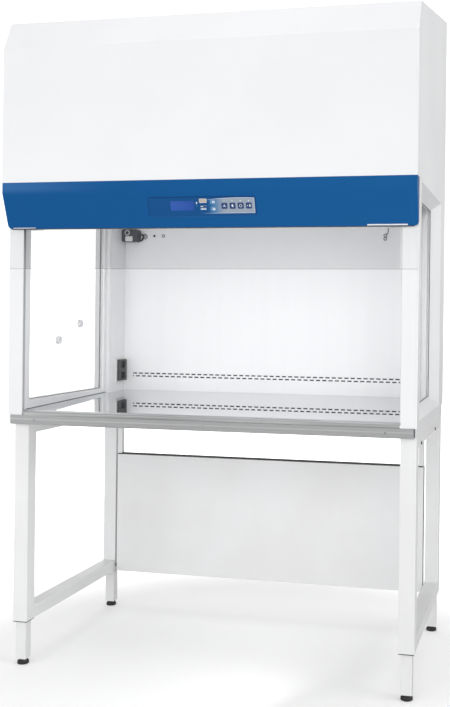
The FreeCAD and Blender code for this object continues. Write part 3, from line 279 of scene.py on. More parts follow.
def powder_coat(name, colour, second, roughness, peel=COAT_PEEL):
    material, start = start_material(name)
    place = object_place(start)
    clouds = place.noise(3.0, 3.0).smooth_step(0.35, 0.7)
    grain = place.noise(COAT_PEEL_SCALE, 1.0)
    settings = {
        "Base Color": clouds.mixed(colour, second),
        "Roughness": roughness + clouds * 0.06,
        "Normal": grain.bumps(peel),
    }
    surface(start, settings)
    return material


stand_coat = powder_coat("stand_coat", COAT_COLOUR, COAT_DUST, 0.42)
dress(stand_coat, "side_frame_left", "side_frame_right", "rear_panel")
for side in ("left", "right"):
    eased("side_frame_" + side, stand_coat, "cabinet", TUBE_CORNER)
    for end in ("front", "rear"):
        leg = "_".join(("leg", end, side))
        dress(stand_coat, "inner_" + leg)
        eased("inner_" + leg, stand_coat, leg, TUBE_CORNER)
eased("rear_panel", stand_coat, "cabinet", PANEL_CORNER)


# Levelling feet are moulded black rubber pads on threaded studs, and the glides are black nylon sleeves.
# Both are matt, with the faint mottling of a moulding.
RUBBER_COLOUR = (0.022, 0.022, 0.024, 1)
RUBBER_WORN = (0.05, 0.05, 0.052, 1)


def moulded(name, colour, second, roughness, scale=90.0, depth=0.0002):
    material, start = start_material(name)
    place = object_place(start)
    mottle = place.noise(scale, 3.0)
    settings = {
        "Base Color": mottle.smooth_step(0.4, 0.75).mixed(colour, second),
        "Roughness": roughness + mottle * 0.15,
        "Normal": mottle.bumps(depth),
    }
    surface(start, settings)
    return material


def turned(profile, middle, sides=32, axis="Z"):
    """A closed solid of revolution from (radius, height) pairs that start and end on the axis."""
    maker = bmesh.new()
    rings = []
    for radius, height in profile:
        count = sides if radius > 0 else 1
        angles = [2 * math.pi * i / sides for i in range(count)]
        rings.append([maker.verts.new((radius * math.cos(a), radius * math.sin(a), height)) for a in angles])
    for low, high in zip(rings, rings[1:]):
        for i in range(sides):
            j = (i + 1) % sides
            loop = [low[i % len(low)], low[j % len(low)], high[j % len(high)], high[i % len(high)]]
            maker.faces.new(list(dict.fromkeys(loop)))
    turn = {"X": Matrix.Rotation(math.pi / 2, 4, "Y"), "Y": Matrix.Rotation(math.pi / 2, 4, "X"), "Z": Matrix()}
    bmesh.ops.transform(maker, matrix=Matrix.Translation(middle) @ turn[axis], verts=maker.verts)
    bmesh.ops.recalc_face_normals(maker, faces=maker.faces)
    return maker


FOOT_PROFILE = (
    (0, 0.0), (0.0165, 0.0), (0.0186, 0.0012), (0.0190, 0.0030), (0.0190, 0.0052), (0.0180, 0.0058),
    (0.0180, 0.0066), (0.0190, 0.0072), (0.0187, 0.0086), (0.0160, 0.0128), (0.0142, 0.0150), (0.0128, 0.0158),
    (0.0090, 0.0160), (0.0050, 0.0160), (0.0050, 0.0745), (0.0046, 0.0750), (0, 0.0750),
)
foot_rubber = moulded("foot_rubber", RUBBER_COLOUR, RUBBER_WORN, 0.6)
dress(foot_rubber, "foot_front_left", "foot_front_right", "foot_rear_left", "foot_rear_right", "leg_glides")
for corner in ("front_left", "front_right", "rear_left", "rear_right"):
    low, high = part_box("foot_" + corner)
    foot = turned(FOOT_PROFILE, ((low.x + high.x) / 2, (low.y + high.y) / 2, 0))
    foot = add_piece("foot_" + corner + "_pad", foot, foot_rubber, "foot_" + corner)
    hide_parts("foot_" + corner)


# The trim's screws are zinc-plated steel, left bare. The stand's bolts and spacers are blacked steel.
# Their heads show the faint spangle of the plating.
ZINC_COLOUR = (0.56, 0.57, 0.58, 1)
ZINC_DULL = (0.36, 0.37, 0.38, 1)


def plated(name, colour, second, roughness, scale=30.0, stretch=(1, 1, 1)):
    material, start = start_material(name)
    place = object_place(start).stretched(stretch)
    spangle = place.noise(scale, 4.0)
    settings = {
        "Base Color": spangle.smooth_step(0.35, 0.7).mixed(colour, second),
        "Metallic": 1.0,
        "Roughness": roughness + spangle * 0.2,
        "Normal": place.noise(scale * 8, 1.0).bumps(0.00005),
    }
    surface(start, settings)
    return material


BLACKED_COLOUR = (0.10, 0.10, 0.105, 1)
BLACKED_WORN = (0.16, 0.16, 0.165, 1)
zinc = plated("zinc_plate", ZINC_COLOUR, ZINC_DULL, 0.3)
dress(zinc, "worktop_screws")
blacked = plated("blacked_bolt", BLACKED_COLOUR, BLACKED_WORN, 0.4)
dress(blacked, "stand_bolts")


# The base is a ring of folded channel and the side walls are folded from one sheet each, coated a clean white.
# The hood's sheets and the rear skin have the same coat, and their folds are slightly rounded.
WHITE_COLOUR = (0.86, 0.865, 0.875, 1)
WHITE_SHADE = (0.84, 0.845, 0.86, 1)
FOLD_RADIUS = 0.0008
white_coat = powder_coat("white_coat", WHITE_COLOUR, WHITE_SHADE, 0.36)
dress(white_coat, "base_frame", "side_panel_left", "side_panel_right", "hood_side_left", "hood_side_right")
dress(white_coat, "hood_front_cover", "hood_top_cover", "rear_skin", "prefilter_grille")
for name in ("hood_front_cover", "hood_top_cover", "side_panel_left", "side_panel_right"):
    eased(name, white_coat, "cabinet", FOLD_RADIUS)


# A black strip along the rear panel's top fold, from leg to leg, is painted shade: a dark strip for the shadow line
# there.
# It is extruded in black, and a little dusty.
SHADE_EDGING_COLOUR = (0.045, 0.045, 0.048, 1)
SHADE_EDGING_DUST = (0.11, 0.11, 0.11, 1)
SHADE_EDGING_WIDTH = 0.008
SHADE_EDGING_HEIGHT = 0.008
SHADE_EDGING_INSET = 0.001
PANEL_TOP_RISE = 0.462
SHADE_EDGING_PROFILE = ((0, 0), (1, 0), (1, 0.55), (0.8, 0.85), (0.5, 1), (0.2, 0.85), (0, 0.55))


def extruded(profile, start, end, across, up, width, height):
    """A bar with the given outline, run from start to end."""
    maker = bmesh.new()
    ends = []
    for place in (start, end):
        points = [Vector(place) + Vector(across) * (a - 0.5) * width + Vector(up) * b * height for a, b in profile]
        ends.append([maker.verts.new(point) for point in points])
    near, far = ends
    for i in range(len(profile)):
        j = (i + 1) % len(profile)
        maker.faces.new((near[i], near[j], far[j], far[i]))
    maker.faces.new(near)
    maker.faces.new(list(reversed(far)))
    bmesh.ops.recalc_face_normals(maker, faces=maker.faces)
    return maker


shade_edging = moulded("panel_shade_edging", SHADE_EDGING_COLOUR, SHADE_EDGING_DUST, 0.55)
panel_low, panel_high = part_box("rear_panel")
panel_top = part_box("side_frame_left")[0].z + PANEL_TOP_RISE
shade_edging_y = panel_low.y + SHADE_EDGING_WIDTH / 2
shade_edging_start = (panel_low.x + SHADE_EDGING_INSET, shade_edging_y, panel_top)
shade_edging_end = (panel_high.x - SHADE_EDGING_INSET, shade_edging_y, panel_top)
shade_edging_bar = extruded(SHADE_EDGING_PROFILE, shade_edging_start, shade_edging_end, (0, 1, 0), (0, 0, 1), SHADE_EDGING_WIDTH, SHADE_EDGING_HEIGHT)
shade_edging_bar = add_piece("panel_shade_edging", shade_edging_bar, shade_edging, "cabinet")


# The worktop is polished stainless sheet that falls a little towards its rolled front edge, for wiping down.
# The roll and the trim below it are brushed lengthways. A dark band of painted shade marks the crease where the polish
# ends.
POLISHED_COLOUR = (0.63, 0.64, 0.655, 1)
POLISHED_SHADE = (0.56, 0.57, 0.585, 1)
TRIM_COLOUR = (0.76, 0.765, 0.77, 1)
TRIM_SHADE = (0.48, 0.485, 0.49, 1)
TRIM_HIGHLIGHT_HEIGHT = 0.8165
TRIM_HIGHLIGHT_WIDTH = 0.0035
CREASE_SHADE_COLOUR = (0.30, 0.305, 0.31, 1)
ROLL_START = -0.3390
CREASE_SHADE_WIDTH = 0.0022
BASE_TOP = 0.829
REAR_TOP = 0.8612
FRONT_TOP = 0.8455


def top_at(y):
    """The height of the sloping worktop."""
    share = (y - top_low.y) / (top_high.y - top_low.y)
    return FRONT_TOP + share * (REAR_TOP - FRONT_TOP)


worktop_steel, start = start_material("worktop_steel")
place = object_place(start)
lines = place.stretched((0.04, 4, 4)).noise(60.0, 3.0)
rolled = place.axis("Y") < ROLL_START
# A thin dark band of painted shade runs along the crease at the start of the roll.
crease_shade = (place.axis("Y") - ROLL_START).maths("ABSOLUTE") < CREASE_SHADE_WIDTH / 2
polished = lines.smooth_step(0.3, 0.75).mixed(POLISHED_COLOUR, POLISHED_SHADE)
brushed_edge = lines.smooth_step(0.3, 0.75).mixed(TRIM_COLOUR, TRIM_SHADE)
surface(start, {
    "Base Color": crease_shade.mixed(rolled.mixed(polished, brushed_edge), CREASE_SHADE_COLOUR),
    "Metallic": 1.0,
    "Roughness": lines * 0.04 + rolled * 0.26,
})
dress(worktop_steel, "worktop")
top_low, top_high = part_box("worktop")
sheet = bmesh.new()
sheet.from_mesh(nodes["worktop"].data)
bmesh.ops.remove_doubles(sheet, verts=sheet.verts, dist=MERGE_GAP)
for point in sheet.verts:
    if point.co.z > BASE_TOP:
        fall = (top_at(point.co.y) - BASE_TOP) / (top_high.z - BASE_TOP)
        point.co.z = BASE_TOP + (point.co.z - BASE_TOP) * fall
sheet = add_piece("worktop_sloped", sheet, worktop_steel, "cabinet")
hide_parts("worktop")

trim_steel, start = start_material("trim_steel")
place = object_place(start)
lines = place.stretched((0.03, 3, 3)).noise(60.0, 3.0)
height = place.axis("Z")
# A pale band at one height across the trim's face is a painted highlight, standing for a reflection there.
off_highlight = (height - TRIM_HIGHLIGHT_HEIGHT).maths("ABSOLUTE").smooth_step(0.0, TRIM_HIGHLIGHT_WIDTH)
surface(start, {
    "Base Color": (lines * 0.5 + off_highlight * 0.5).mixed(TRIM_COLOUR, TRIM_SHADE),
    "Metallic": 1.0,
    "Roughness": 0.26 + lines * 0.12,
    "Normal": lines.bumps(0.00003),
})
dress(trim_steel, "front_trim")


# Behind the work space stands a pale satin wall with two rows of return slots, and above hangs the screen.
# Upright streaks of the roller show faintly on the wall.
WALL_COLOUR = (0.90, 0.905, 0.92, 1)
WALL_SHADE = (0.890, 0.895, 0.91, 1)
SLOT_PAINTED_SHADE = (0.02, 0.02, 0.025, 1)
SLOT_Z = 0.916
SLOT_STEP = 0.011
SLOT_PITCH = 0.0245
SLOT_HALF_LENGTH = 0.0080
SLOT_HALF_HEIGHT = 0.0024
SLOT_REACH = 0.560
back_coat, start = start_material("back_wall_coat")
place = object_place(start)
streaks = place.stretched((1.0, 1.0, 0.03)).noise(26.0, 3.0)
# Each return slot is painted near black on the wall: painted shade for the dark inside the slot.
slot_shade = 0
for row, shift in ((0, 0.5), (1, 0.0)):
    from_row = (place.axis("Z") - (SLOT_Z + row * SLOT_STEP)).maths("ABSOLUTE")
    turns = (place.axis("X") / SLOT_PITCH + shift).maths("PINGPONG", 0.5) * SLOT_PITCH
    slot_shade = slot_shade + (from_row < SLOT_HALF_HEIGHT) * (turns > (SLOT_PITCH / 2 - SLOT_HALF_LENGTH))
slot_reach = place.axis("X").maths("ABSOLUTE") < SLOT_REACH
painted = streaks.smooth_step(0.35, 0.7).mixed(WALL_COLOUR, WALL_SHADE)
surface(start, {
    "Base Color": (slot_shade * slot_reach).mixed(painted, SLOT_PAINTED_SHADE),
    "Roughness": 0.3 + streaks * 0.1,
    "Normal": place.noise(COAT_PEEL_SCALE, 1.0).bumps(0.00004),
})
dress(back_coat, "back_wall", "diffuser_screen")


# A strip of black sheet behind the return slots is painted shade: it is there only so that they look dark from the
# work space.
# Its face is soft and uneven.
SHADE_SHEET_COLOUR = (0.010, 0.010, 0.012, 1)
SHADE_SHEET_GREY = (0.022, 0.022, 0.024, 1)
SHADE_SHEET_FROM_WALL = 0.0006
SHADE_SHEET_THICKNESS = 0.004
SHADE_SHEET_HEIGHT = 0.034
SHADE_SHEET_RISE = 0.044
SHADE_SHEET_INSET = 0.012
CHAMFERED_BAR_OUTLINE = ((0, 0.04), (0.2, 0), (0.8, 0), (1, 0.04), (1, 0.96), (0.8, 1), (0.2, 1), (0, 0.96))
shade_sheet_finish = moulded("slot_shade_sheet", SHADE_SHEET_COLOUR, SHADE_SHEET_GREY, 0.9, 400.0, 0.0008)
wall_low, wall_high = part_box("back_wall")
shade_sheet_start = (wall_low.x + SHADE_SHEET_INSET, wall_high.y + SHADE_SHEET_FROM_WALL + SHADE_SHEET_THICKNESS / 2, wall_low.z + SHADE_SHEET_RISE)
shade_sheet_end = (wall_high.x - SHADE_SHEET_INSET, shade_sheet_start[1], shade_sheet_start[2])
shade_sheet = extruded(CHAMFERED_BAR_OUTLINE, shade_sheet_start, shade_sheet_end, (0, 1, 0), (0, 0, 1), SHADE_SHEET_THICKNESS, SHADE_SHEET_HEIGHT)
shade_sheet = add_piece("slot_shade_sheet", shade_sheet, shade_sheet_finish, "cabinet")


# Each side is closed by a pane of clear float glass, with rubber seals down its corners: dark at the front left,
# greyer low down, and pale elsewhere. On the front left seals the dark up high is painted shade, where the sash
# and fascia shade them. Two soft pale plugs close the service holes in the left pane.
PANE_COLOUR = (0.86, 0.9, 0.9, 1)
PANE_ALPHA = 0.03
SEAL_DARK_SHADED = (0.12, 0.125, 0.135, 1)
SEAL_GREY = (0.45, 0.46, 0.47, 1)
SEAL_PALE = (0.72, 0.725, 0.735, 1)
PLUG_COLOUR = (0.90, 0.91, 0.92, 1)
PLUG_SHADE = (0.85, 0.86, 0.87, 1)
PANE_EDGE_ALPHA = 0.4
PANE_EDGE_WIDTH = 0.002
SASH_BACKED_FROM = 0.612
SEAL_FOOT_GAP = 0.0005


def clear_sheet(name, colour, alpha, edge_alpha, edge_axis, edge_place, edge_width, end_alpha=None):
    """A see-through sheet, darker along one cut edge, which stands at edge_place along edge_axis."""
    material, start = start_material(name)
    place = object_place(start)
    from_edge = (place.axis(edge_axis) - edge_place).maths("ABSOLUTE")
    edge = 1 - from_edge.smooth_step(edge_width * 0.5, edge_width)
    wipes = place.noise(7.0, 4.0)
    if end_alpha is not None:
        backed = place.axis("X").maths("ABSOLUTE").smooth_step(SASH_BACKED_FROM, SASH_BACKED_FROM + 0.003)
        alpha = alpha + backed * (end_alpha - alpha)
    settings = {
        "Base Color": colour,
        "Roughness": 0.04 + wipes * 0.05,
        "Alpha": alpha + wipes * 0.02 + edge * edge_alpha,
    }
    surface(start, settings)
    return material


pane_low, pane_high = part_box("side_glasses")
pane_glass = clear_sheet("pane_glass", PANE_COLOUR, PANE_ALPHA, PANE_EDGE_ALPHA, "Z", pane_low.z, PANE_EDGE_WIDTH)
dress(pane_glass, "side_glasses")
seal_rubber, start = start_material("seal_rubber")
place = object_place(start)
mottle = place.noise(90.0, 3.0)
rear = place.axis("Y") > 0
# Painted shade: the front left seals turn from grey low down to dark up high.
lower_less_shaded = 1 - place.axis("Z").smooth_step(1.30, 1.46)
left_seals = rear.mixed(lower_less_shaded.mixed(SEAL_DARK_SHADED, SEAL_GREY), SEAL_PALE)
surface(start, {
    "Base Color": (place.axis("X") > 0).mixed(left_seals, SEAL_PALE),
    "Roughness": 0.5 + mottle * 0.15,
    "Normal": mottle.bumps(0.0002),
})
dress(seal_rubber, "liner_seals")
strips = bmesh.new()
strips.from_mesh(nodes["liner_seals"].data)
bmesh.ops.remove_doubles(strips, verts=strips.verts, dist=MERGE_GAP)
for point in strips.verts:
    if point.co.y < 0 and point.co.z < top_high.z + SEAL_FOOT_GAP:
        point.co.z = top_at(point.co.y)
strips = add_piece("liner_seals_long", strips, seal_rubber, "cabinet")
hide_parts("liner_seals")
plug_rubber = moulded("plug_rubber", PLUG_COLOUR, PLUG_SHADE, 0.5)
dress(plug_rubber, "service_plugs")


# Each pane is held by a mitred bead on both faces. The beads are white, but for a black one outside the right pane.
# A fine dark line of sealant closes the joint between the worktop and each side wall.
BEAD_WHITE = (0.90, 0.90, 0.91, 1)
BEAD_CREAM = (0.86, 0.86, 0.865, 1)
BEAD_BLACK = (0.09, 0.09, 0.095, 1)
SEALANT_GREY = (0.14, 0.145, 0.15, 1)
SEALANT_WORN = (0.20, 0.205, 0.21, 1)
INNER_BEAD = (0.0030, 0.0030)
OUTER_BEAD = (0.0020, 0.0018)
INNER_BEAD_INSET = 0.0020
OUTER_BEAD_INSET = 0.0142
INNER_FACE = 0.6279
OUTER_FACE = 0.6341
SEALANT_SIZE = 0.0018
SEALANT_FACE = 0.6176
SEALANT_RUN = (-0.330, 0.2565)
LEFT_FILLET = ((0, 0), (1, 0), (0.5, 0.45), (0, 1))
RIGHT_FILLET = ((0, 0), (1, 0), (1, 1), (0.5, 0.45))


def with_inputs(name, kinds):
    """An empty node tree for shapes, with named inputs and one shape for its output."""
    tree = bpy.data.node_groups.new(name, "GeometryNodeTree")
    for label, kind in kinds.items():
        tree.interface.new_socket(name=label, in_out="INPUT", socket_type="NodeSocket" + kind)
    tree.interface.new_socket(name="Shape", in_out="OUTPUT", socket_type="NodeSocketGeometry")
    given = tree.nodes.new("NodeGroupInput")
    return tree, Wire(tree), {label: Wire(tree, given.outputs[label]) for label in kinds}


def close_tree(tree, shape, finish):
    """Ends a tree in real faces with their finish."""
    real = shape.node("GeometryNodeRealizeInstances", None, {"Geometry": shape})
    dressed = real.node("GeometryNodeSetMaterial", None, {"Geometry": real, "Material": finish})
    end = tree.nodes.new("NodeGroupOutput")
    tree.links.new(dressed.socket, end.inputs["Shape"])


def grown(name, tree, values, body):
    """Runs a tree on an empty object, and keeps its faces as a plain mesh on a body."""
    carrier = bpy.data.objects.new(name + "_carrier", bpy.data.meshes.new(name + "_carrier"))
    bpy.context.scene.collection.objects.link(carrier)
    modifier = carrier.modifiers.new("shape", "NODES")
    modifier.node_group = tree
    sockets = {item.name: item.identifier for item in tree.interface.items_tree if item.in_out == "INPUT"}
    for label, value in values.items():
        modifier[sockets[label]] = value
    ready = carrier.evaluated_get(bpy.context.evaluated_depsgraph_get())
    mesh = bpy.data.meshes.new_from_object(ready)
    bpy.data.objects.remove(carrier)
    mesh.name = name
    piece = bpy.data.objects.new(name, mesh)
    bpy.context.scene.collection.objects.link(piece)
    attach(piece, body)
    return piece


bead_tree, start, given = with_inputs("pane_bead", {
    "Length": "Float", "Height": "Float", "Middle": "Vector", "Depth": "Float", "Width": "Float", "Finish": "Material",
})
outline = start.node("GeometryNodeCurvePrimitiveQuadrilateral", {"mode": "RECTANGLE"},
                     {"Width": given["Length"], "Height": given["Height"]})
upright = outline.node("GeometryNodeTransform", None, {
    "Geometry": outline, "Rotation": (math.pi / 2, 0, math.pi / 2), "Translation": given["Middle"],
})
section = start.node("GeometryNodeCurvePrimitiveQuadrilateral", {"mode": "RECTANGLE"},
                     {"Width": given["Width"], "Height": given["Depth"]})
swept = upright.node("GeometryNodeCurveToMesh", None, {"Curve": upright, "Profile Curve": section, "Fill Caps": True})
close_tree(bead_tree, swept, given["Finish"])

bead_white = moulded("bead_white", BEAD_WHITE, BEAD_CREAM, 0.45)
bead_black = moulded("bead_black", BEAD_BLACK, RUBBER_WORN, 0.45)
pane_middle = ((pane_low.y + pane_high.y) / 2, (pane_low.z + pane_high.z) / 2)
pane_length, pane_height = pane_high.y - pane_low.y, pane_high.z - pane_low.z
for side, way, outer_finish in (("left", -1, bead_white), ("right", 1, bead_black)):
    inner_x = way * (INNER_FACE - INNER_BEAD[0] / 2)
    grown("inner_bead_" + side, bead_tree, {
        "Length": pane_length - INNER_BEAD_INSET, "Height": pane_height - INNER_BEAD_INSET,
        "Middle": (inner_x, *pane_middle), "Depth": INNER_BEAD[0], "Width": INNER_BEAD[1], "Finish": bead_white,
    }, "cabinet")
    outer_x = way * (OUTER_FACE + OUTER_BEAD[0] / 2)
    grown("outer_bead_" + side, bead_tree, {
        "Length": pane_length - OUTER_BEAD_INSET, "Height": pane_height - OUTER_BEAD_INSET,
        "Middle": (outer_x, *pane_middle), "Depth": OUTER_BEAD[0], "Width": OUTER_BEAD[1], "Finish": outer_finish,
    }, "cabinet")

sealant = moulded("joint_sealant", SEALANT_GREY, SEALANT_WORN, 0.5)
for side, way, fillet in (("left", -1, LEFT_FILLET), ("right", 1, RIGHT_FILLET)):
    joint_x = way * (SEALANT_FACE - SEALANT_SIZE / 2)
    joint_start, joint_end = ((joint_x, y, top_at(y)) for y in SEALANT_RUN)
    joint = extruded(fillet, joint_start, joint_end, (1, 0, 0), (0, 0, 1), SEALANT_SIZE, SEALANT_SIZE)
    joint = add_piece("joint_sealant_" + side, joint, sealant, "cabinet")


# The front sash is a clear acrylic sheet with a faint grey cast, hung behind the fascia on three brackets.
# Its sawn lower edge is polished, and reads as a thin grey line.
SASH_COLOUR = (0.10, 0.105, 0.115, 1)
SASH_ALPHA = 0.11
SASH_END_ALPHA = 0.01
SASH_EDGE_ALPHA = 0.09
SASH_EDGE_WIDTH = 0.0035
sash_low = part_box("front_sash")[0]
sash_acrylic = clear_sheet(
    "sash_acrylic", SASH_COLOUR, SASH_ALPHA, SASH_EDGE_ALPHA, "Z", sash_low.z, SASH_EDGE_WIDTH, SASH_END_ALPHA)
dress(sash_acrylic, "front_sash")
GALVANISED_COLOUR = (0.52, 0.54, 0.56, 1)
GALVANISED_DARK = (0.40, 0.42, 0.44, 1)
galvanised = plated("galvanised", GALVANISED_COLOUR, GALVANISED_DARK, 0.35, 14.0)
dress(galvanised, "fascia_brackets", "blower_deck", "blower_housing", "impeller", "control_box")


# The fascia is one folded sheet in satin blue, an upright band over a receding face with rounded lower corners.
# Painted light makes it a little paler to the right and on the left end of the band, where it turns to the light.
BLUE_COLOUR = (0.0025, 0.082, 0.262, 1)
BLUE_PAINTED_PALE = (0.0035, 0.094, 0.290, 1)
BLUE_PAINTED_LIGHT = (0.032, 0.130, 0.340, 1)
blue_coat, start = start_material("fascia_coat")
place = object_place(start)
across = place.axis("X").smooth_step(-0.7, 0.7)
painted_light_band = (1 - place.axis("X").smooth_step(-0.66, -0.25)) * place.axis("Z").smooth_step(1.535, 1.560)
cloud = place.noise(2.0, 2.0)
surface(start, {
    "Base Color": painted_light_band.mixed(across.mixed(BLUE_COLOUR, BLUE_PAINTED_PALE), BLUE_PAINTED_LIGHT),
    "Roughness": 0.42 + cloud * 0.08,
    "Specular IOR Level": 0.12,
    "Normal": place.noise(COAT_PEEL_SCALE, 1.0).bumps(0.00008),
})
dress(blue_coat, "fascia")
eased("fascia", blue_coat, "cabinet", FOLD_RADIUS)


# A black lip under the fascia's lower fold is painted shade, a dark strip for the fold's shadow line, and pale guide
# strips for the sash hang behind its ends. The strips are white nylon.
FASCIA_SETBACK = 0.041
SHADE_LIP_WIDTH = 0.0030
SHADE_LIP_HEIGHT = 0.0028
SHADE_LIP_INSET = 0.013
GUIDE_WIDTH = 0.004
GUIDE_FROM_SASH = 0.0045
GUIDE_RISE = 0.001
GUIDES = {"left": (-0.650, -0.572, 0.0022), "right": (0.515, 0.637, 0.0040)}
NYLON_COLOUR = (0.84, 0.84, 0.85, 1)
NYLON_SHADE = (0.78, 0.78, 0.79, 1)
fascia_low, fascia_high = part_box("fascia")
shade_lip_y = fascia_low.y + FASCIA_SETBACK + SHADE_LIP_WIDTH / 2
shade_lip_z = fascia_low.z - SHADE_LIP_HEIGHT
shade_lip_start, shade_lip_end = (fascia_low.x + SHADE_LIP_INSET, shade_lip_y, shade_lip_z), (fascia_high.x - SHADE_LIP_INSET, shade_lip_y, shade_lip_z)
shade_lip = extruded(CHAMFERED_BAR_OUTLINE, shade_lip_start, shade_lip_end, (0, 1, 0), (0, 0, 1), SHADE_LIP_WIDTH, SHADE_LIP_HEIGHT)
shade_lip = add_piece("fascia_shade_lip", shade_lip, shade_edging, "cabinet")
nylon = moulded("guide_nylon", NYLON_COLOUR, NYLON_SHADE, 0.4)
guide_y, guide_z = sash_low.y - GUIDE_FROM_SASH, fascia_low.z + GUIDE_RISE
for side, (start_x, end_x, guide_height) in GUIDES.items():
    guide_start, guide_end = (start_x, guide_y, guide_z), (end_x, guide_y, guide_z)
    guide = extruded(CHAMFERED_BAR_OUTLINE, guide_start, guide_end, (0, 1, 0), (0, 0, 1), GUIDE_WIDTH, guide_height)
    guide = add_piece("sash_guide_" + side, guide, nylon, "cabinet")


# The control overlay is a printed film on the receding face: blue, with a silver field that fades in from
# the left under an arched edge, around the keys. The board stands behind it.
FASCIA_TILT = math.atan2(41, 111)
OVERLAY_THICKNESS = 0.0012
FILM_BLUE = (0.003, 0.072, 0.235, 1)
FILM_EDGE = (0.002, 0.040, 0.150, 1)
FILM_SKY = (0.06, 0.19, 0.38, 1)
FILM_SILVER = (0.31, 0.36, 0.44, 1)
FILM_LINE = (0.74, 0.80, 0.86, 1)
SILVER_LEFT = 0.014
SILVER_HALF = 0.046
SILVER_FULL = 0.080
SILVER_RIGHT = 0.1705
SILVER_BOTTOM = -0.0215
ARCH_CREST = 0.0272
ARCH_MIDDLE = 0.120
ARCH_BEND = 0.55
LINE_WIDTH = 0.0010
RIM_WIDTH = 0.0022
HALF_DROP = 0.0315
PALE_FOOT = -0.0302

overlay_low, overlay_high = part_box("control_overlay")
panel_up = Vector((0, -math.sin(FASCIA_TILT), math.cos(FASCIA_TILT)))
panel_out = Vector((0, -math.cos(FASCIA_TILT), -math.sin(FASCIA_TILT)))
overlay_middle = (overlay_low + overlay_high) / 2
panel_face = overlay_middle + panel_out * OVERLAY_THICKNESS / 2
overlay_half = (overlay_high.x - overlay_low.x) / 2

film, start = start_material("overlay_film")
place = object_place(start)
across = place.axis("X")
up = (place.axis("Y") - overlay_middle.y) * panel_up.y + (place.axis("Z") - overlay_middle.z) * panel_up.z
off_middle = across - ARCH_MIDDLE
arch = ARCH_CREST - off_middle * off_middle * ARCH_BEND
inside = (up < arch) * (up > SILVER_BOTTOM) * (across < SILVER_RIGHT)
first_fade = across.smooth_step(SILVER_LEFT, SILVER_HALF)
second_fade = across.smooth_step(SILVER_HALF - 0.012, SILVER_FULL)
near_arch = (up > arch - LINE_WIDTH) * (up < arch)
near_bottom = (up < SILVER_BOTTOM + LINE_WIDTH) * (up > SILVER_BOTTOM)
near_right = (across > SILVER_RIGHT - LINE_WIDTH) * inside
line = (near_arch + near_bottom + near_right).maths("MINIMUM", 1.0) * (up < arch) * (across < SILVER_RIGHT)
from_side = overlay_half - across.maths("ABSOLUTE")
from_top = HALF_DROP - up
rim = (from_side < RIM_WIDTH).maths("MAXIMUM", from_top < RIM_WIDTH)
pale_foot = (up < PALE_FOOT) * 0.22
base = pale_foot.mixed(rim.mixed(FILM_BLUE, FILM_EDGE), FILM_SKY)
tinted = (inside * first_fade).mixed(base, FILM_SKY)
silvered = (inside * second_fade).mixed(tinted, FILM_SILVER)
grain = place.noise(900.0, 1.0)
surface(start, {
    "Base Color": (line * across.smooth_step(-0.01, 0.06)).mixed(silvered, FILM_LINE),
    "Roughness": 0.36 + grain * 0.06,
    "Specular IOR Level": 0.15,
    "Normal": grain.bumps(0.00002),
})
dress(film, "control_overlay")
BOARD_GREEN = (0.01, 0.10, 0.04, 1)
BOARD_DARK = (0.006, 0.06, 0.03, 1)
board_finish = moulded("circuit_board", BOARD_GREEN, BOARD_DARK, 0.45, 40.0, 0.0001)
dress(board_finish, "control_board")


# Each key is a domed pad of dark blue film, and the menu key a beige one with a pale rim. Their signs are printed
# in white: a fan, a lamp, a ring and a plug, and a small square with an arrowhead on the two stepping keys.
KEY_BLUE = (0.003, 0.034, 0.14, 1)
KEY_SHEEN = (0.005, 0.050, 0.18, 1)
KEY_BEIGE = (0.50, 0.42, 0.37, 1)
KEY_BEIGE_SHADE = (0.40, 0.35, 0.33, 1)
KEY_SKY = (0.10, 0.27, 0.47, 1)
KEY_SKY_SHADE = (0.07, 0.21, 0.41, 1)
SIGN_WHITE = (0.86, 0.88, 0.9, 1)
SIGN_SHADE = (0.78, 0.8, 0.84, 1)
SIGN_BLUE = (0.004, 0.05, 0.18, 1)
SIGN_LIFT = 0.00006

key_film = moulded("key_film", KEY_BLUE, KEY_SHEEN, 0.28, 60.0, 0.00003)
dress(key_film, "fan_key", "lamp_key", "uv_key", "outlet_key")
menu_film = moulded("menu_film", KEY_BEIGE, KEY_BEIGE_SHADE, 0.3, 60.0, 0.00003)
dress(menu_film, "menu_key")
arrow_film = moulded("arrow_film", KEY_SKY, KEY_SKY_SHADE, 0.3, 60.0, 0.00003)
dress(arrow_film, "up_key", "down_key")
sign_print = moulded("sign_print", SIGN_WHITE, SIGN_SHADE, 0.4, 60.0, 0.00002)
sign_blue = moulded("sign_blue", SIGN_BLUE, KEY_BLUE, 0.4, 60.0, 0.00002)


def on_panel(origin):
    """A frame with x across, y up the slope and z out of the printed face, at the point origin."""
    return Matrix((
        (1, 0, 0, origin.x),
        (0, panel_up.y, panel_out.y, origin.y),
        (0, panel_up.z, panel_out.z, origin.z),
        (0, 0, 0, 1),
    ))


def flat_sign(outlines, origin, lift=SIGN_LIFT):
    """Closed outlines in metres across and up, laid as thin printed faces at origin."""
    maker = bmesh.new()
    for outline in outlines:
        maker.faces.new([maker.verts.new((x, y, lift)) for x, y in outline])
    bmesh.ops.transform(maker, matrix=on_panel(origin), verts=maker.verts)
    return maker


def disc(radius, middle=(0, 0), sides=20):
    turns = [2 * math.pi * i / sides for i in range(sides)]
    return [(middle[0] + radius * math.cos(t), middle[1] + radius * math.sin(t)) for t in turns]


def bar(width, height, middle=(0, 0)):
    x, y = middle
    return [(x - width / 2, y - height / 2), (x + width / 2, y - height / 2),
            (x + width / 2, y + height / 2), (x - width / 2, y + height / 2)]


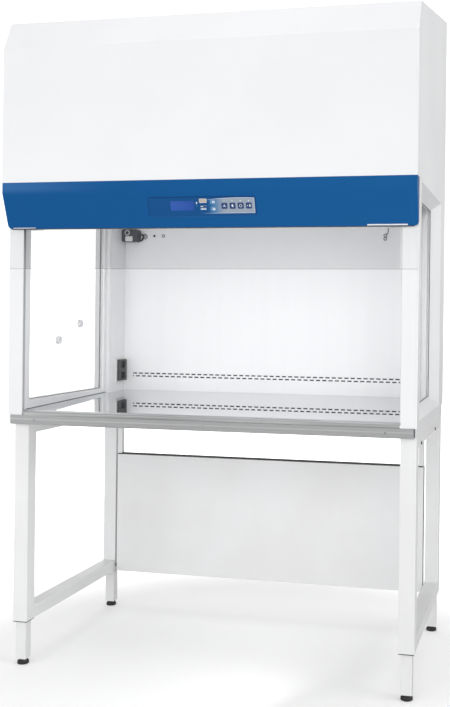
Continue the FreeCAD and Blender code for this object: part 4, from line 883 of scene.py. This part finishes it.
def blade(turn, length):
    """One leaf of the fan sign, a rounded petal out from the middle."""
    points = []
    for i in range(10):
        t = 2 * math.pi * i / 10
        along = length * (0.55 + 0.45 * math.cos(t))
        side = length * 0.26 * math.sin(t)
        points.append((along * math.cos(turn) - side * math.sin(turn), along * math.sin(turn) + side * math.cos(turn)))
    return points


def ring(radius, width, sides=20):
    """Flat ring, as short trapezes side by side."""
    turns = [2 * math.pi * i / sides for i in range(sides + 1)]
    outer = [(radius * math.cos(t), radius * math.sin(t)) for t in turns]
    inner = [((radius - width) * math.cos(t), (radius - width) * math.sin(t)) for t in turns]
    return [[outer[i], outer[i + 1], inner[i + 1], inner[i]] for i in range(sides)]


def framed(width, height, line):
    """Four bars that make a rectangular frame."""
    across, tall = (width - line) / 2, (height - line) / 2
    return [bar(width, line, (0, tall)), bar(width, line, (0, -tall)),
            bar(line, height - 2 * line, (across, 0)), bar(line, height - 2 * line, (-across, 0))]


SIGNS = {
    "fan_key": ("fan_button", [blade(math.radians(a), 0.0046) for a in (90, 210, 330)]),
    "lamp_key": ("lamp_button", [disc(0.0030, (-0.0004, 0.0012)), bar(0.0030, 0.0026, (0.0012, -0.0030))]),
    "uv_key": ("uv_button", ring(0.0046, 0.0011)),
    "outlet_key": ("outlet_button", [bar(0.0036, 0.0020, (-0.0042, 0)), bar(0.0030, 0.0072, (0.0030, 0)),
                                     bar(0.0026, 0.0012, (0.0058, 0.0020)), bar(0.0026, 0.0012, (0.0058, -0.0020))]),
    "up_key": ("up_button", [bar(0.0072, 0.0062, (0.0030, 0))]),
    "down_key": ("down_button", [bar(0.0072, 0.0062, (0.0030, 0))]),
    "menu_key": ("menu_button", framed(0.0232, 0.0128, 0.0009)),
}
ARROWS = {
    "up_key": ("up_button", [[(0.0006, -0.0014), (0.0054, -0.0014), (0.0030, 0.0020)]]),
    "down_key": ("down_button", [[(0.0006, 0.0014), (0.0030, -0.0020), (0.0054, 0.0014)]]),
}
KEY_PROUD = 0.0005
for marks, printing, lift in ((SIGNS, sign_print, SIGN_LIFT), (ARROWS, sign_blue, SIGN_LIFT * 2)):
    for key, (body, outlines) in marks.items():
        low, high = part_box(key)
        middle = (low + high) / 2
        out = panel_face + panel_out * KEY_PROUD
        middle += panel_out * (out - middle).dot(panel_out)
        kind = "_sign" if marks is SIGNS else "_arrow"
        sign = add_piece(key + kind, flat_sign(outlines, middle, lift), printing, body)


# Plain printed bars stand on the film left of the keys: a mark with a dot by the display, and two short bars
# below the menu key, the first of them mostly blue.
PLATE_PROUD = 0.0003
PLAIN_MARKS = {
    "display_mark": ((-0.0150, 0.0118), [bar(0.0030, 0.0068)], sign_print),
    "display_dot": ((-0.0150, 0.0018), [disc(0.0015)], arrow_film),
    "upper_bar": ((0.0060, 0.0005), [bar(0.0196, 0.0046)], key_film),
    "upper_bar_mark": ((0.0012, 0.0005), [bar(0.0080, 0.0018)], sign_print),
    "lower_bar": ((0.0060, -0.0075), [bar(0.0196, 0.0046)], arrow_film),
    "lower_bar_mark": ((0.0060, -0.0075), [bar(0.0165, 0.0024)], sign_print),
}
for name, ((x, rise), outlines, printing) in PLAIN_MARKS.items():
    spot = Vector((x, panel_face.y, panel_face.z)) + panel_up * rise
    lift = PLATE_PROUD * ("bar" in name) + SIGN_LIFT * (2 if name.endswith("bar_mark") else 1)
    mark = add_piece(name, flat_sign(outlines, spot, lift), printing, "cabinet")


# The display is a clear window over a backlit violet-blue panel, which shows a blank page.
# The small lights above the keys are moulded lenses, the first one green.
DISPLAY_BLUE = (0.014, 0.070, 0.33, 1)
DISPLAY_PALE = (0.024, 0.090, 0.38, 1)
DISPLAY_GLOW = 0.05
display_low, display_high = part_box("display_window")
display_finish, start = start_material("display_panel")
place = object_place(start)
from_left = (place.axis("X") - display_low.x) / (display_high.x - display_low.x)
shade = from_left.mixed(DISPLAY_PALE, DISPLAY_BLUE)
surface(start, {
    "Base Color": shade,
    "Roughness": 0.22 + place.noise(50.0, 2.0) * 0.05,
    "Specular IOR Level": 0.25,
    "Emission Color": shade,
    "Emission Strength": DISPLAY_GLOW,
})
dress(display_finish, "display_window")
LENS_PALE = (0.82, 0.86, 0.80, 1)
LENS_GREEN = (0.45, 0.62, 0.10, 1)
FIRST_LIGHT_EDGE = 0.086
lens_finish, start = start_material("lens_finish")
place = object_place(start)
first = (place.axis("X") < FIRST_LIGHT_EDGE) * (place.axis("X") > 0.06)
surface(start, {
    "Base Color": first.mixed(LENS_PALE, LENS_GREEN),
    "Roughness": 0.25 + place.noise(200.0, 1.0) * 0.1,
    "Emission Color": first.mixed(LENS_PALE, LENS_GREEN),
    "Emission Strength": 0.15,
})
dress(lens_finish, "status_leds")


# A fluorescent lamp lies across the front of the chamber behind the fascia, in white moulded holders.
# The tube is coated inside, so it looks milky.
PLASTIC_WHITE = (0.80, 0.80, 0.79, 1)
PLASTIC_CREAM = (0.76, 0.76, 0.74, 1)
TUBE_WHITE = (0.90, 0.90, 0.88, 1)
white_plastic = moulded("white_plastic", PLASTIC_WHITE, PLASTIC_CREAM, 0.38)
dress(white_plastic, "lamp_holders", "outlet_plate")
tube_glass = moulded("tube_glass", TUBE_WHITE, PLASTIC_WHITE, 0.15, 20.0, 0.00001)
dress(tube_glass, "lamp_tube")


# The lamp socket in the rear left corner is dark grey moulded plastic with a pale ring and plate on its face.
# Its short black lead bends into a grommet in the wall. Beside it are a stud, an eyelet and two wire clips.
SOCKET_GREY = (0.042, 0.047, 0.058, 1)
SOCKET_WORN = (0.060, 0.066, 0.080, 1)
BLACK_PLASTIC = (0.02, 0.02, 0.022, 1)
BLACK_WORN = (0.04, 0.04, 0.042, 1)
socket_plastic = moulded("socket_plastic", SOCKET_GREY, SOCKET_WORN, 0.4)
dress(socket_plastic, "uv_socket")
black_plastic = moulded("black_plastic", BLACK_PLASTIC, BLACK_WORN, 0.35)
dress(black_plastic, "uv_lead", "wall_fittings", "power_inlet")
SOCKET_COLOUR = (0.075, 0.078, 0.082, 1)
SOCKET_SHADE = (0.11, 0.113, 0.118, 1)
dress(moulded("outlet_socket", SOCKET_COLOUR, SOCKET_SHADE, 0.5), "outlet_sockets")


def hoop(middle, radius, wire, sides=28, turns=8):
    """A closed ring of round wire that lies flat on the rear wall."""
    maker = bmesh.new()
    rings = []
    for i in range(sides):
        a = 2 * math.pi * i / sides
        ring_points = []
        for j in range(turns):
            b = 2 * math.pi * j / turns
            out = radius + wire * math.cos(b)
            ring_points.append(maker.verts.new((out * math.cos(a), wire * math.sin(b), out * math.sin(a))))
        rings.append(ring_points)
    for i in range(sides):
        for j in range(turns):
            k, m = (i + 1) % sides, (j + 1) % turns
            maker.faces.new((rings[i][j], rings[i][m], rings[k][m], rings[k][j]))
    bmesh.ops.transform(maker, matrix=Matrix.Translation(middle), verts=maker.verts)
    bmesh.ops.recalc_face_normals(maker, faces=maker.faces)
    return maker


def bent_rod(name, points, radius, finish):
    """A round rod or lead through the points, closed at its ends."""
    line = bpy.data.curves.new(name, "CURVE")
    line.dimensions = "3D"
    line.bevel_depth = radius
    line.bevel_resolution = 3
    line.use_fill_caps = True
    line.resolution_u = 6
    run = line.splines.new("NURBS")
    run.points.add(len(points) - 1)
    for point, place in zip(run.points, points):
        point.co = (*place, 1)
    run.order_u = 3
    run.use_endpoint_u = True
    carrier = bpy.data.objects.new(name + "_line", line)
    bpy.context.scene.collection.objects.link(carrier)
    ready = carrier.evaluated_get(bpy.context.evaluated_depsgraph_get())
    maker = bmesh.new()
    maker.from_mesh(bpy.data.meshes.new_from_object(ready))
    bpy.data.objects.remove(carrier)
    bmesh.ops.remove_doubles(maker, verts=maker.verts, dist=MERGE_GAP)
    piece = add_piece(name, maker, finish, "cabinet", smooth=True)
    return piece


RING_GREY = (0.10, 0.105, 0.115, 1)
RING_DULL = (0.17, 0.175, 0.18, 1)
WALL_FACE = wall_low.y
socket_low, socket_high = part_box("uv_socket")
KNOB_PLACE = (socket_low.x + 0.0273, socket_low.z + 0.0343)
ring_metal = moulded("fitting_ring", RING_GREY, RING_DULL, 0.35)
knob_ring = add_piece("socket_ring", hoop((KNOB_PLACE[0], socket_low.y + 0.0005, KNOB_PLACE[1]), 0.0090, 0.0016),
                      white_plastic, "cabinet", smooth=True)
plate_outline = [(x * 0.0150, z * 0.0100) for x, z in
                 ((-1, -0.8), (-0.9, -1), (0.9, -1), (1, -0.8), (1, 0.8), (0.9, 1), (-0.9, 1), (-1, 0.8))]
maker = bmesh.new()
plate_middle = (socket_low.x + 0.0317, socket_high.y - 0.0403, socket_low.z + 0.0113)
faces = []
for depth, share in ((0, 1.0), (-0.0010, 1.0), (-0.0014, 0.94)):
    faces.append([maker.verts.new((plate_middle[0] + x * share, plate_middle[1] + depth, plate_middle[2] + z * share))
                  for x, z in plate_outline])
for near, far in zip(faces, faces[1:]):
    for i in range(len(near)):
        j = (i + 1) % len(near)
        maker.faces.new((near[i], near[j], far[j], far[i]))
maker.faces.new(faces[0])
maker.faces.new(faces[-1])
bmesh.ops.recalc_face_normals(maker, faces=maker.faces)
add_piece("socket_plate", maker, white_plastic, "cabinet")

LEAD_POINTS = (
    (-0.5345, 0.3640, 1.4700), (-0.5280, 0.3640, 1.4735), (-0.5205, 0.3720, 1.4760), (-0.5180, 0.3790, 1.4700),
    (-0.5220, 0.3800, 1.4600), (-0.5290, 0.3805, 1.4520),
)
lead = bent_rod("socket_lead", LEAD_POINTS, 0.0034, black_plastic)
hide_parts("uv_lead")
grommet = add_piece("wall_grommet", hoop((-0.5150, WALL_FACE - 0.0016, 1.4695), 0.0092, 0.0016), ring_metal, "cabinet",
                    smooth=True)
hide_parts("wall_fittings")
STUD_PROFILE = ((0, 0), (0.0048, 0), (0.0048, 0.0014), (0.0036, 0.0024), (0.0016, 0.0028), (0, 0.0028))
stud = add_piece("wall_stud", turned(STUD_PROFILE, (-0.4760, WALL_FACE, 1.4716), 16, "Y"), black_plastic, "cabinet")
eyelet = add_piece("wall_eyelet", hoop((-0.4380, WALL_FACE - 0.0009, 1.4714), 0.0052, 0.0017), ring_metal, "cabinet",
                   smooth=True)
for name, z in (("upper_clip", 1.4676), ("lower_clip", 1.4552)):
    clip = add_piece(name, hoop((0.4494, WALL_FACE - 0.0010, z), 0.0054, 0.0016), ring_metal, "cabinet", smooth=True)
CLIP_ROD = ((0.4600, WALL_FACE - 0.0010, 1.4960), (0.4606, WALL_FACE - 0.0010, 1.4860),
            (0.4600, WALL_FACE - 0.0010, 1.4760), (0.4540, WALL_FACE - 0.0010, 1.4720))
bent_rod("clip_rod", CLIP_ROD, 0.0014, ring_metal)


# Over the work space the main filter sits in an aluminium frame, its paper folded in deep pleats.
# Fine ribs across each fold stand in for the hot-melt separators.
FILTER_WHITE = (0.84, 0.84, 0.80, 1)
FILTER_SHADE = (0.72, 0.72, 0.68, 1)
ALUMINIUM_COLOUR = (0.68, 0.69, 0.70, 1)
ALUMINIUM_DULL = (0.58, 0.59, 0.60, 1)
paper, start = start_material("filter_paper")
place = object_place(start)
ribs = (place.axis("X") * 2400.0).maths("SINE")
fibres = place.noise(300.0, 4.0)
surface(start, {
    "Base Color": fibres.mixed(FILTER_SHADE, FILTER_WHITE),
    "Roughness": 0.9,
    "Normal": (ribs * 0.5 + fibres * 0.5).bumps(0.0006),
})
dress(paper, "filter_media")
extrusion = plated("extrusion", ALUMINIUM_COLOUR, ALUMINIUM_DULL, 0.35, 60.0, (0.05, 2, 2))
dress(extrusion, "filter_frame")


# The blower motor has a black enamelled can. The prefilter is a pad of coarse white fibre under the roof grille.
# The pad's fibres lie in a loose tangle, with painted shade in the gaps between them.
ENAMEL_COLOUR = (0.018, 0.018, 0.02, 1)
ENAMEL_SHEEN = (0.03, 0.03, 0.034, 1)
FIBRE_COLOUR = (0.70, 0.72, 0.71, 1)
FIBRE_GAP_SHADE = (0.30, 0.32, 0.33, 1)
enamel = powder_coat("motor_enamel", ENAMEL_COLOUR, ENAMEL_SHEEN, 0.3)
dress(enamel, "blower_motor")
fibre, start = start_material("prefilter_fibre")
place = object_place(start)
tangle = place.noise(160.0, 6.0)
surface(start, {
    "Base Color": tangle.smooth_step(0.35, 0.6).mixed(FIBRE_GAP_SHADE, FIBRE_COLOUR),
    "Roughness": 0.95,
    "Normal": tangle.bumps(0.0015),
})
dress(fibre, "prefilter_pad")
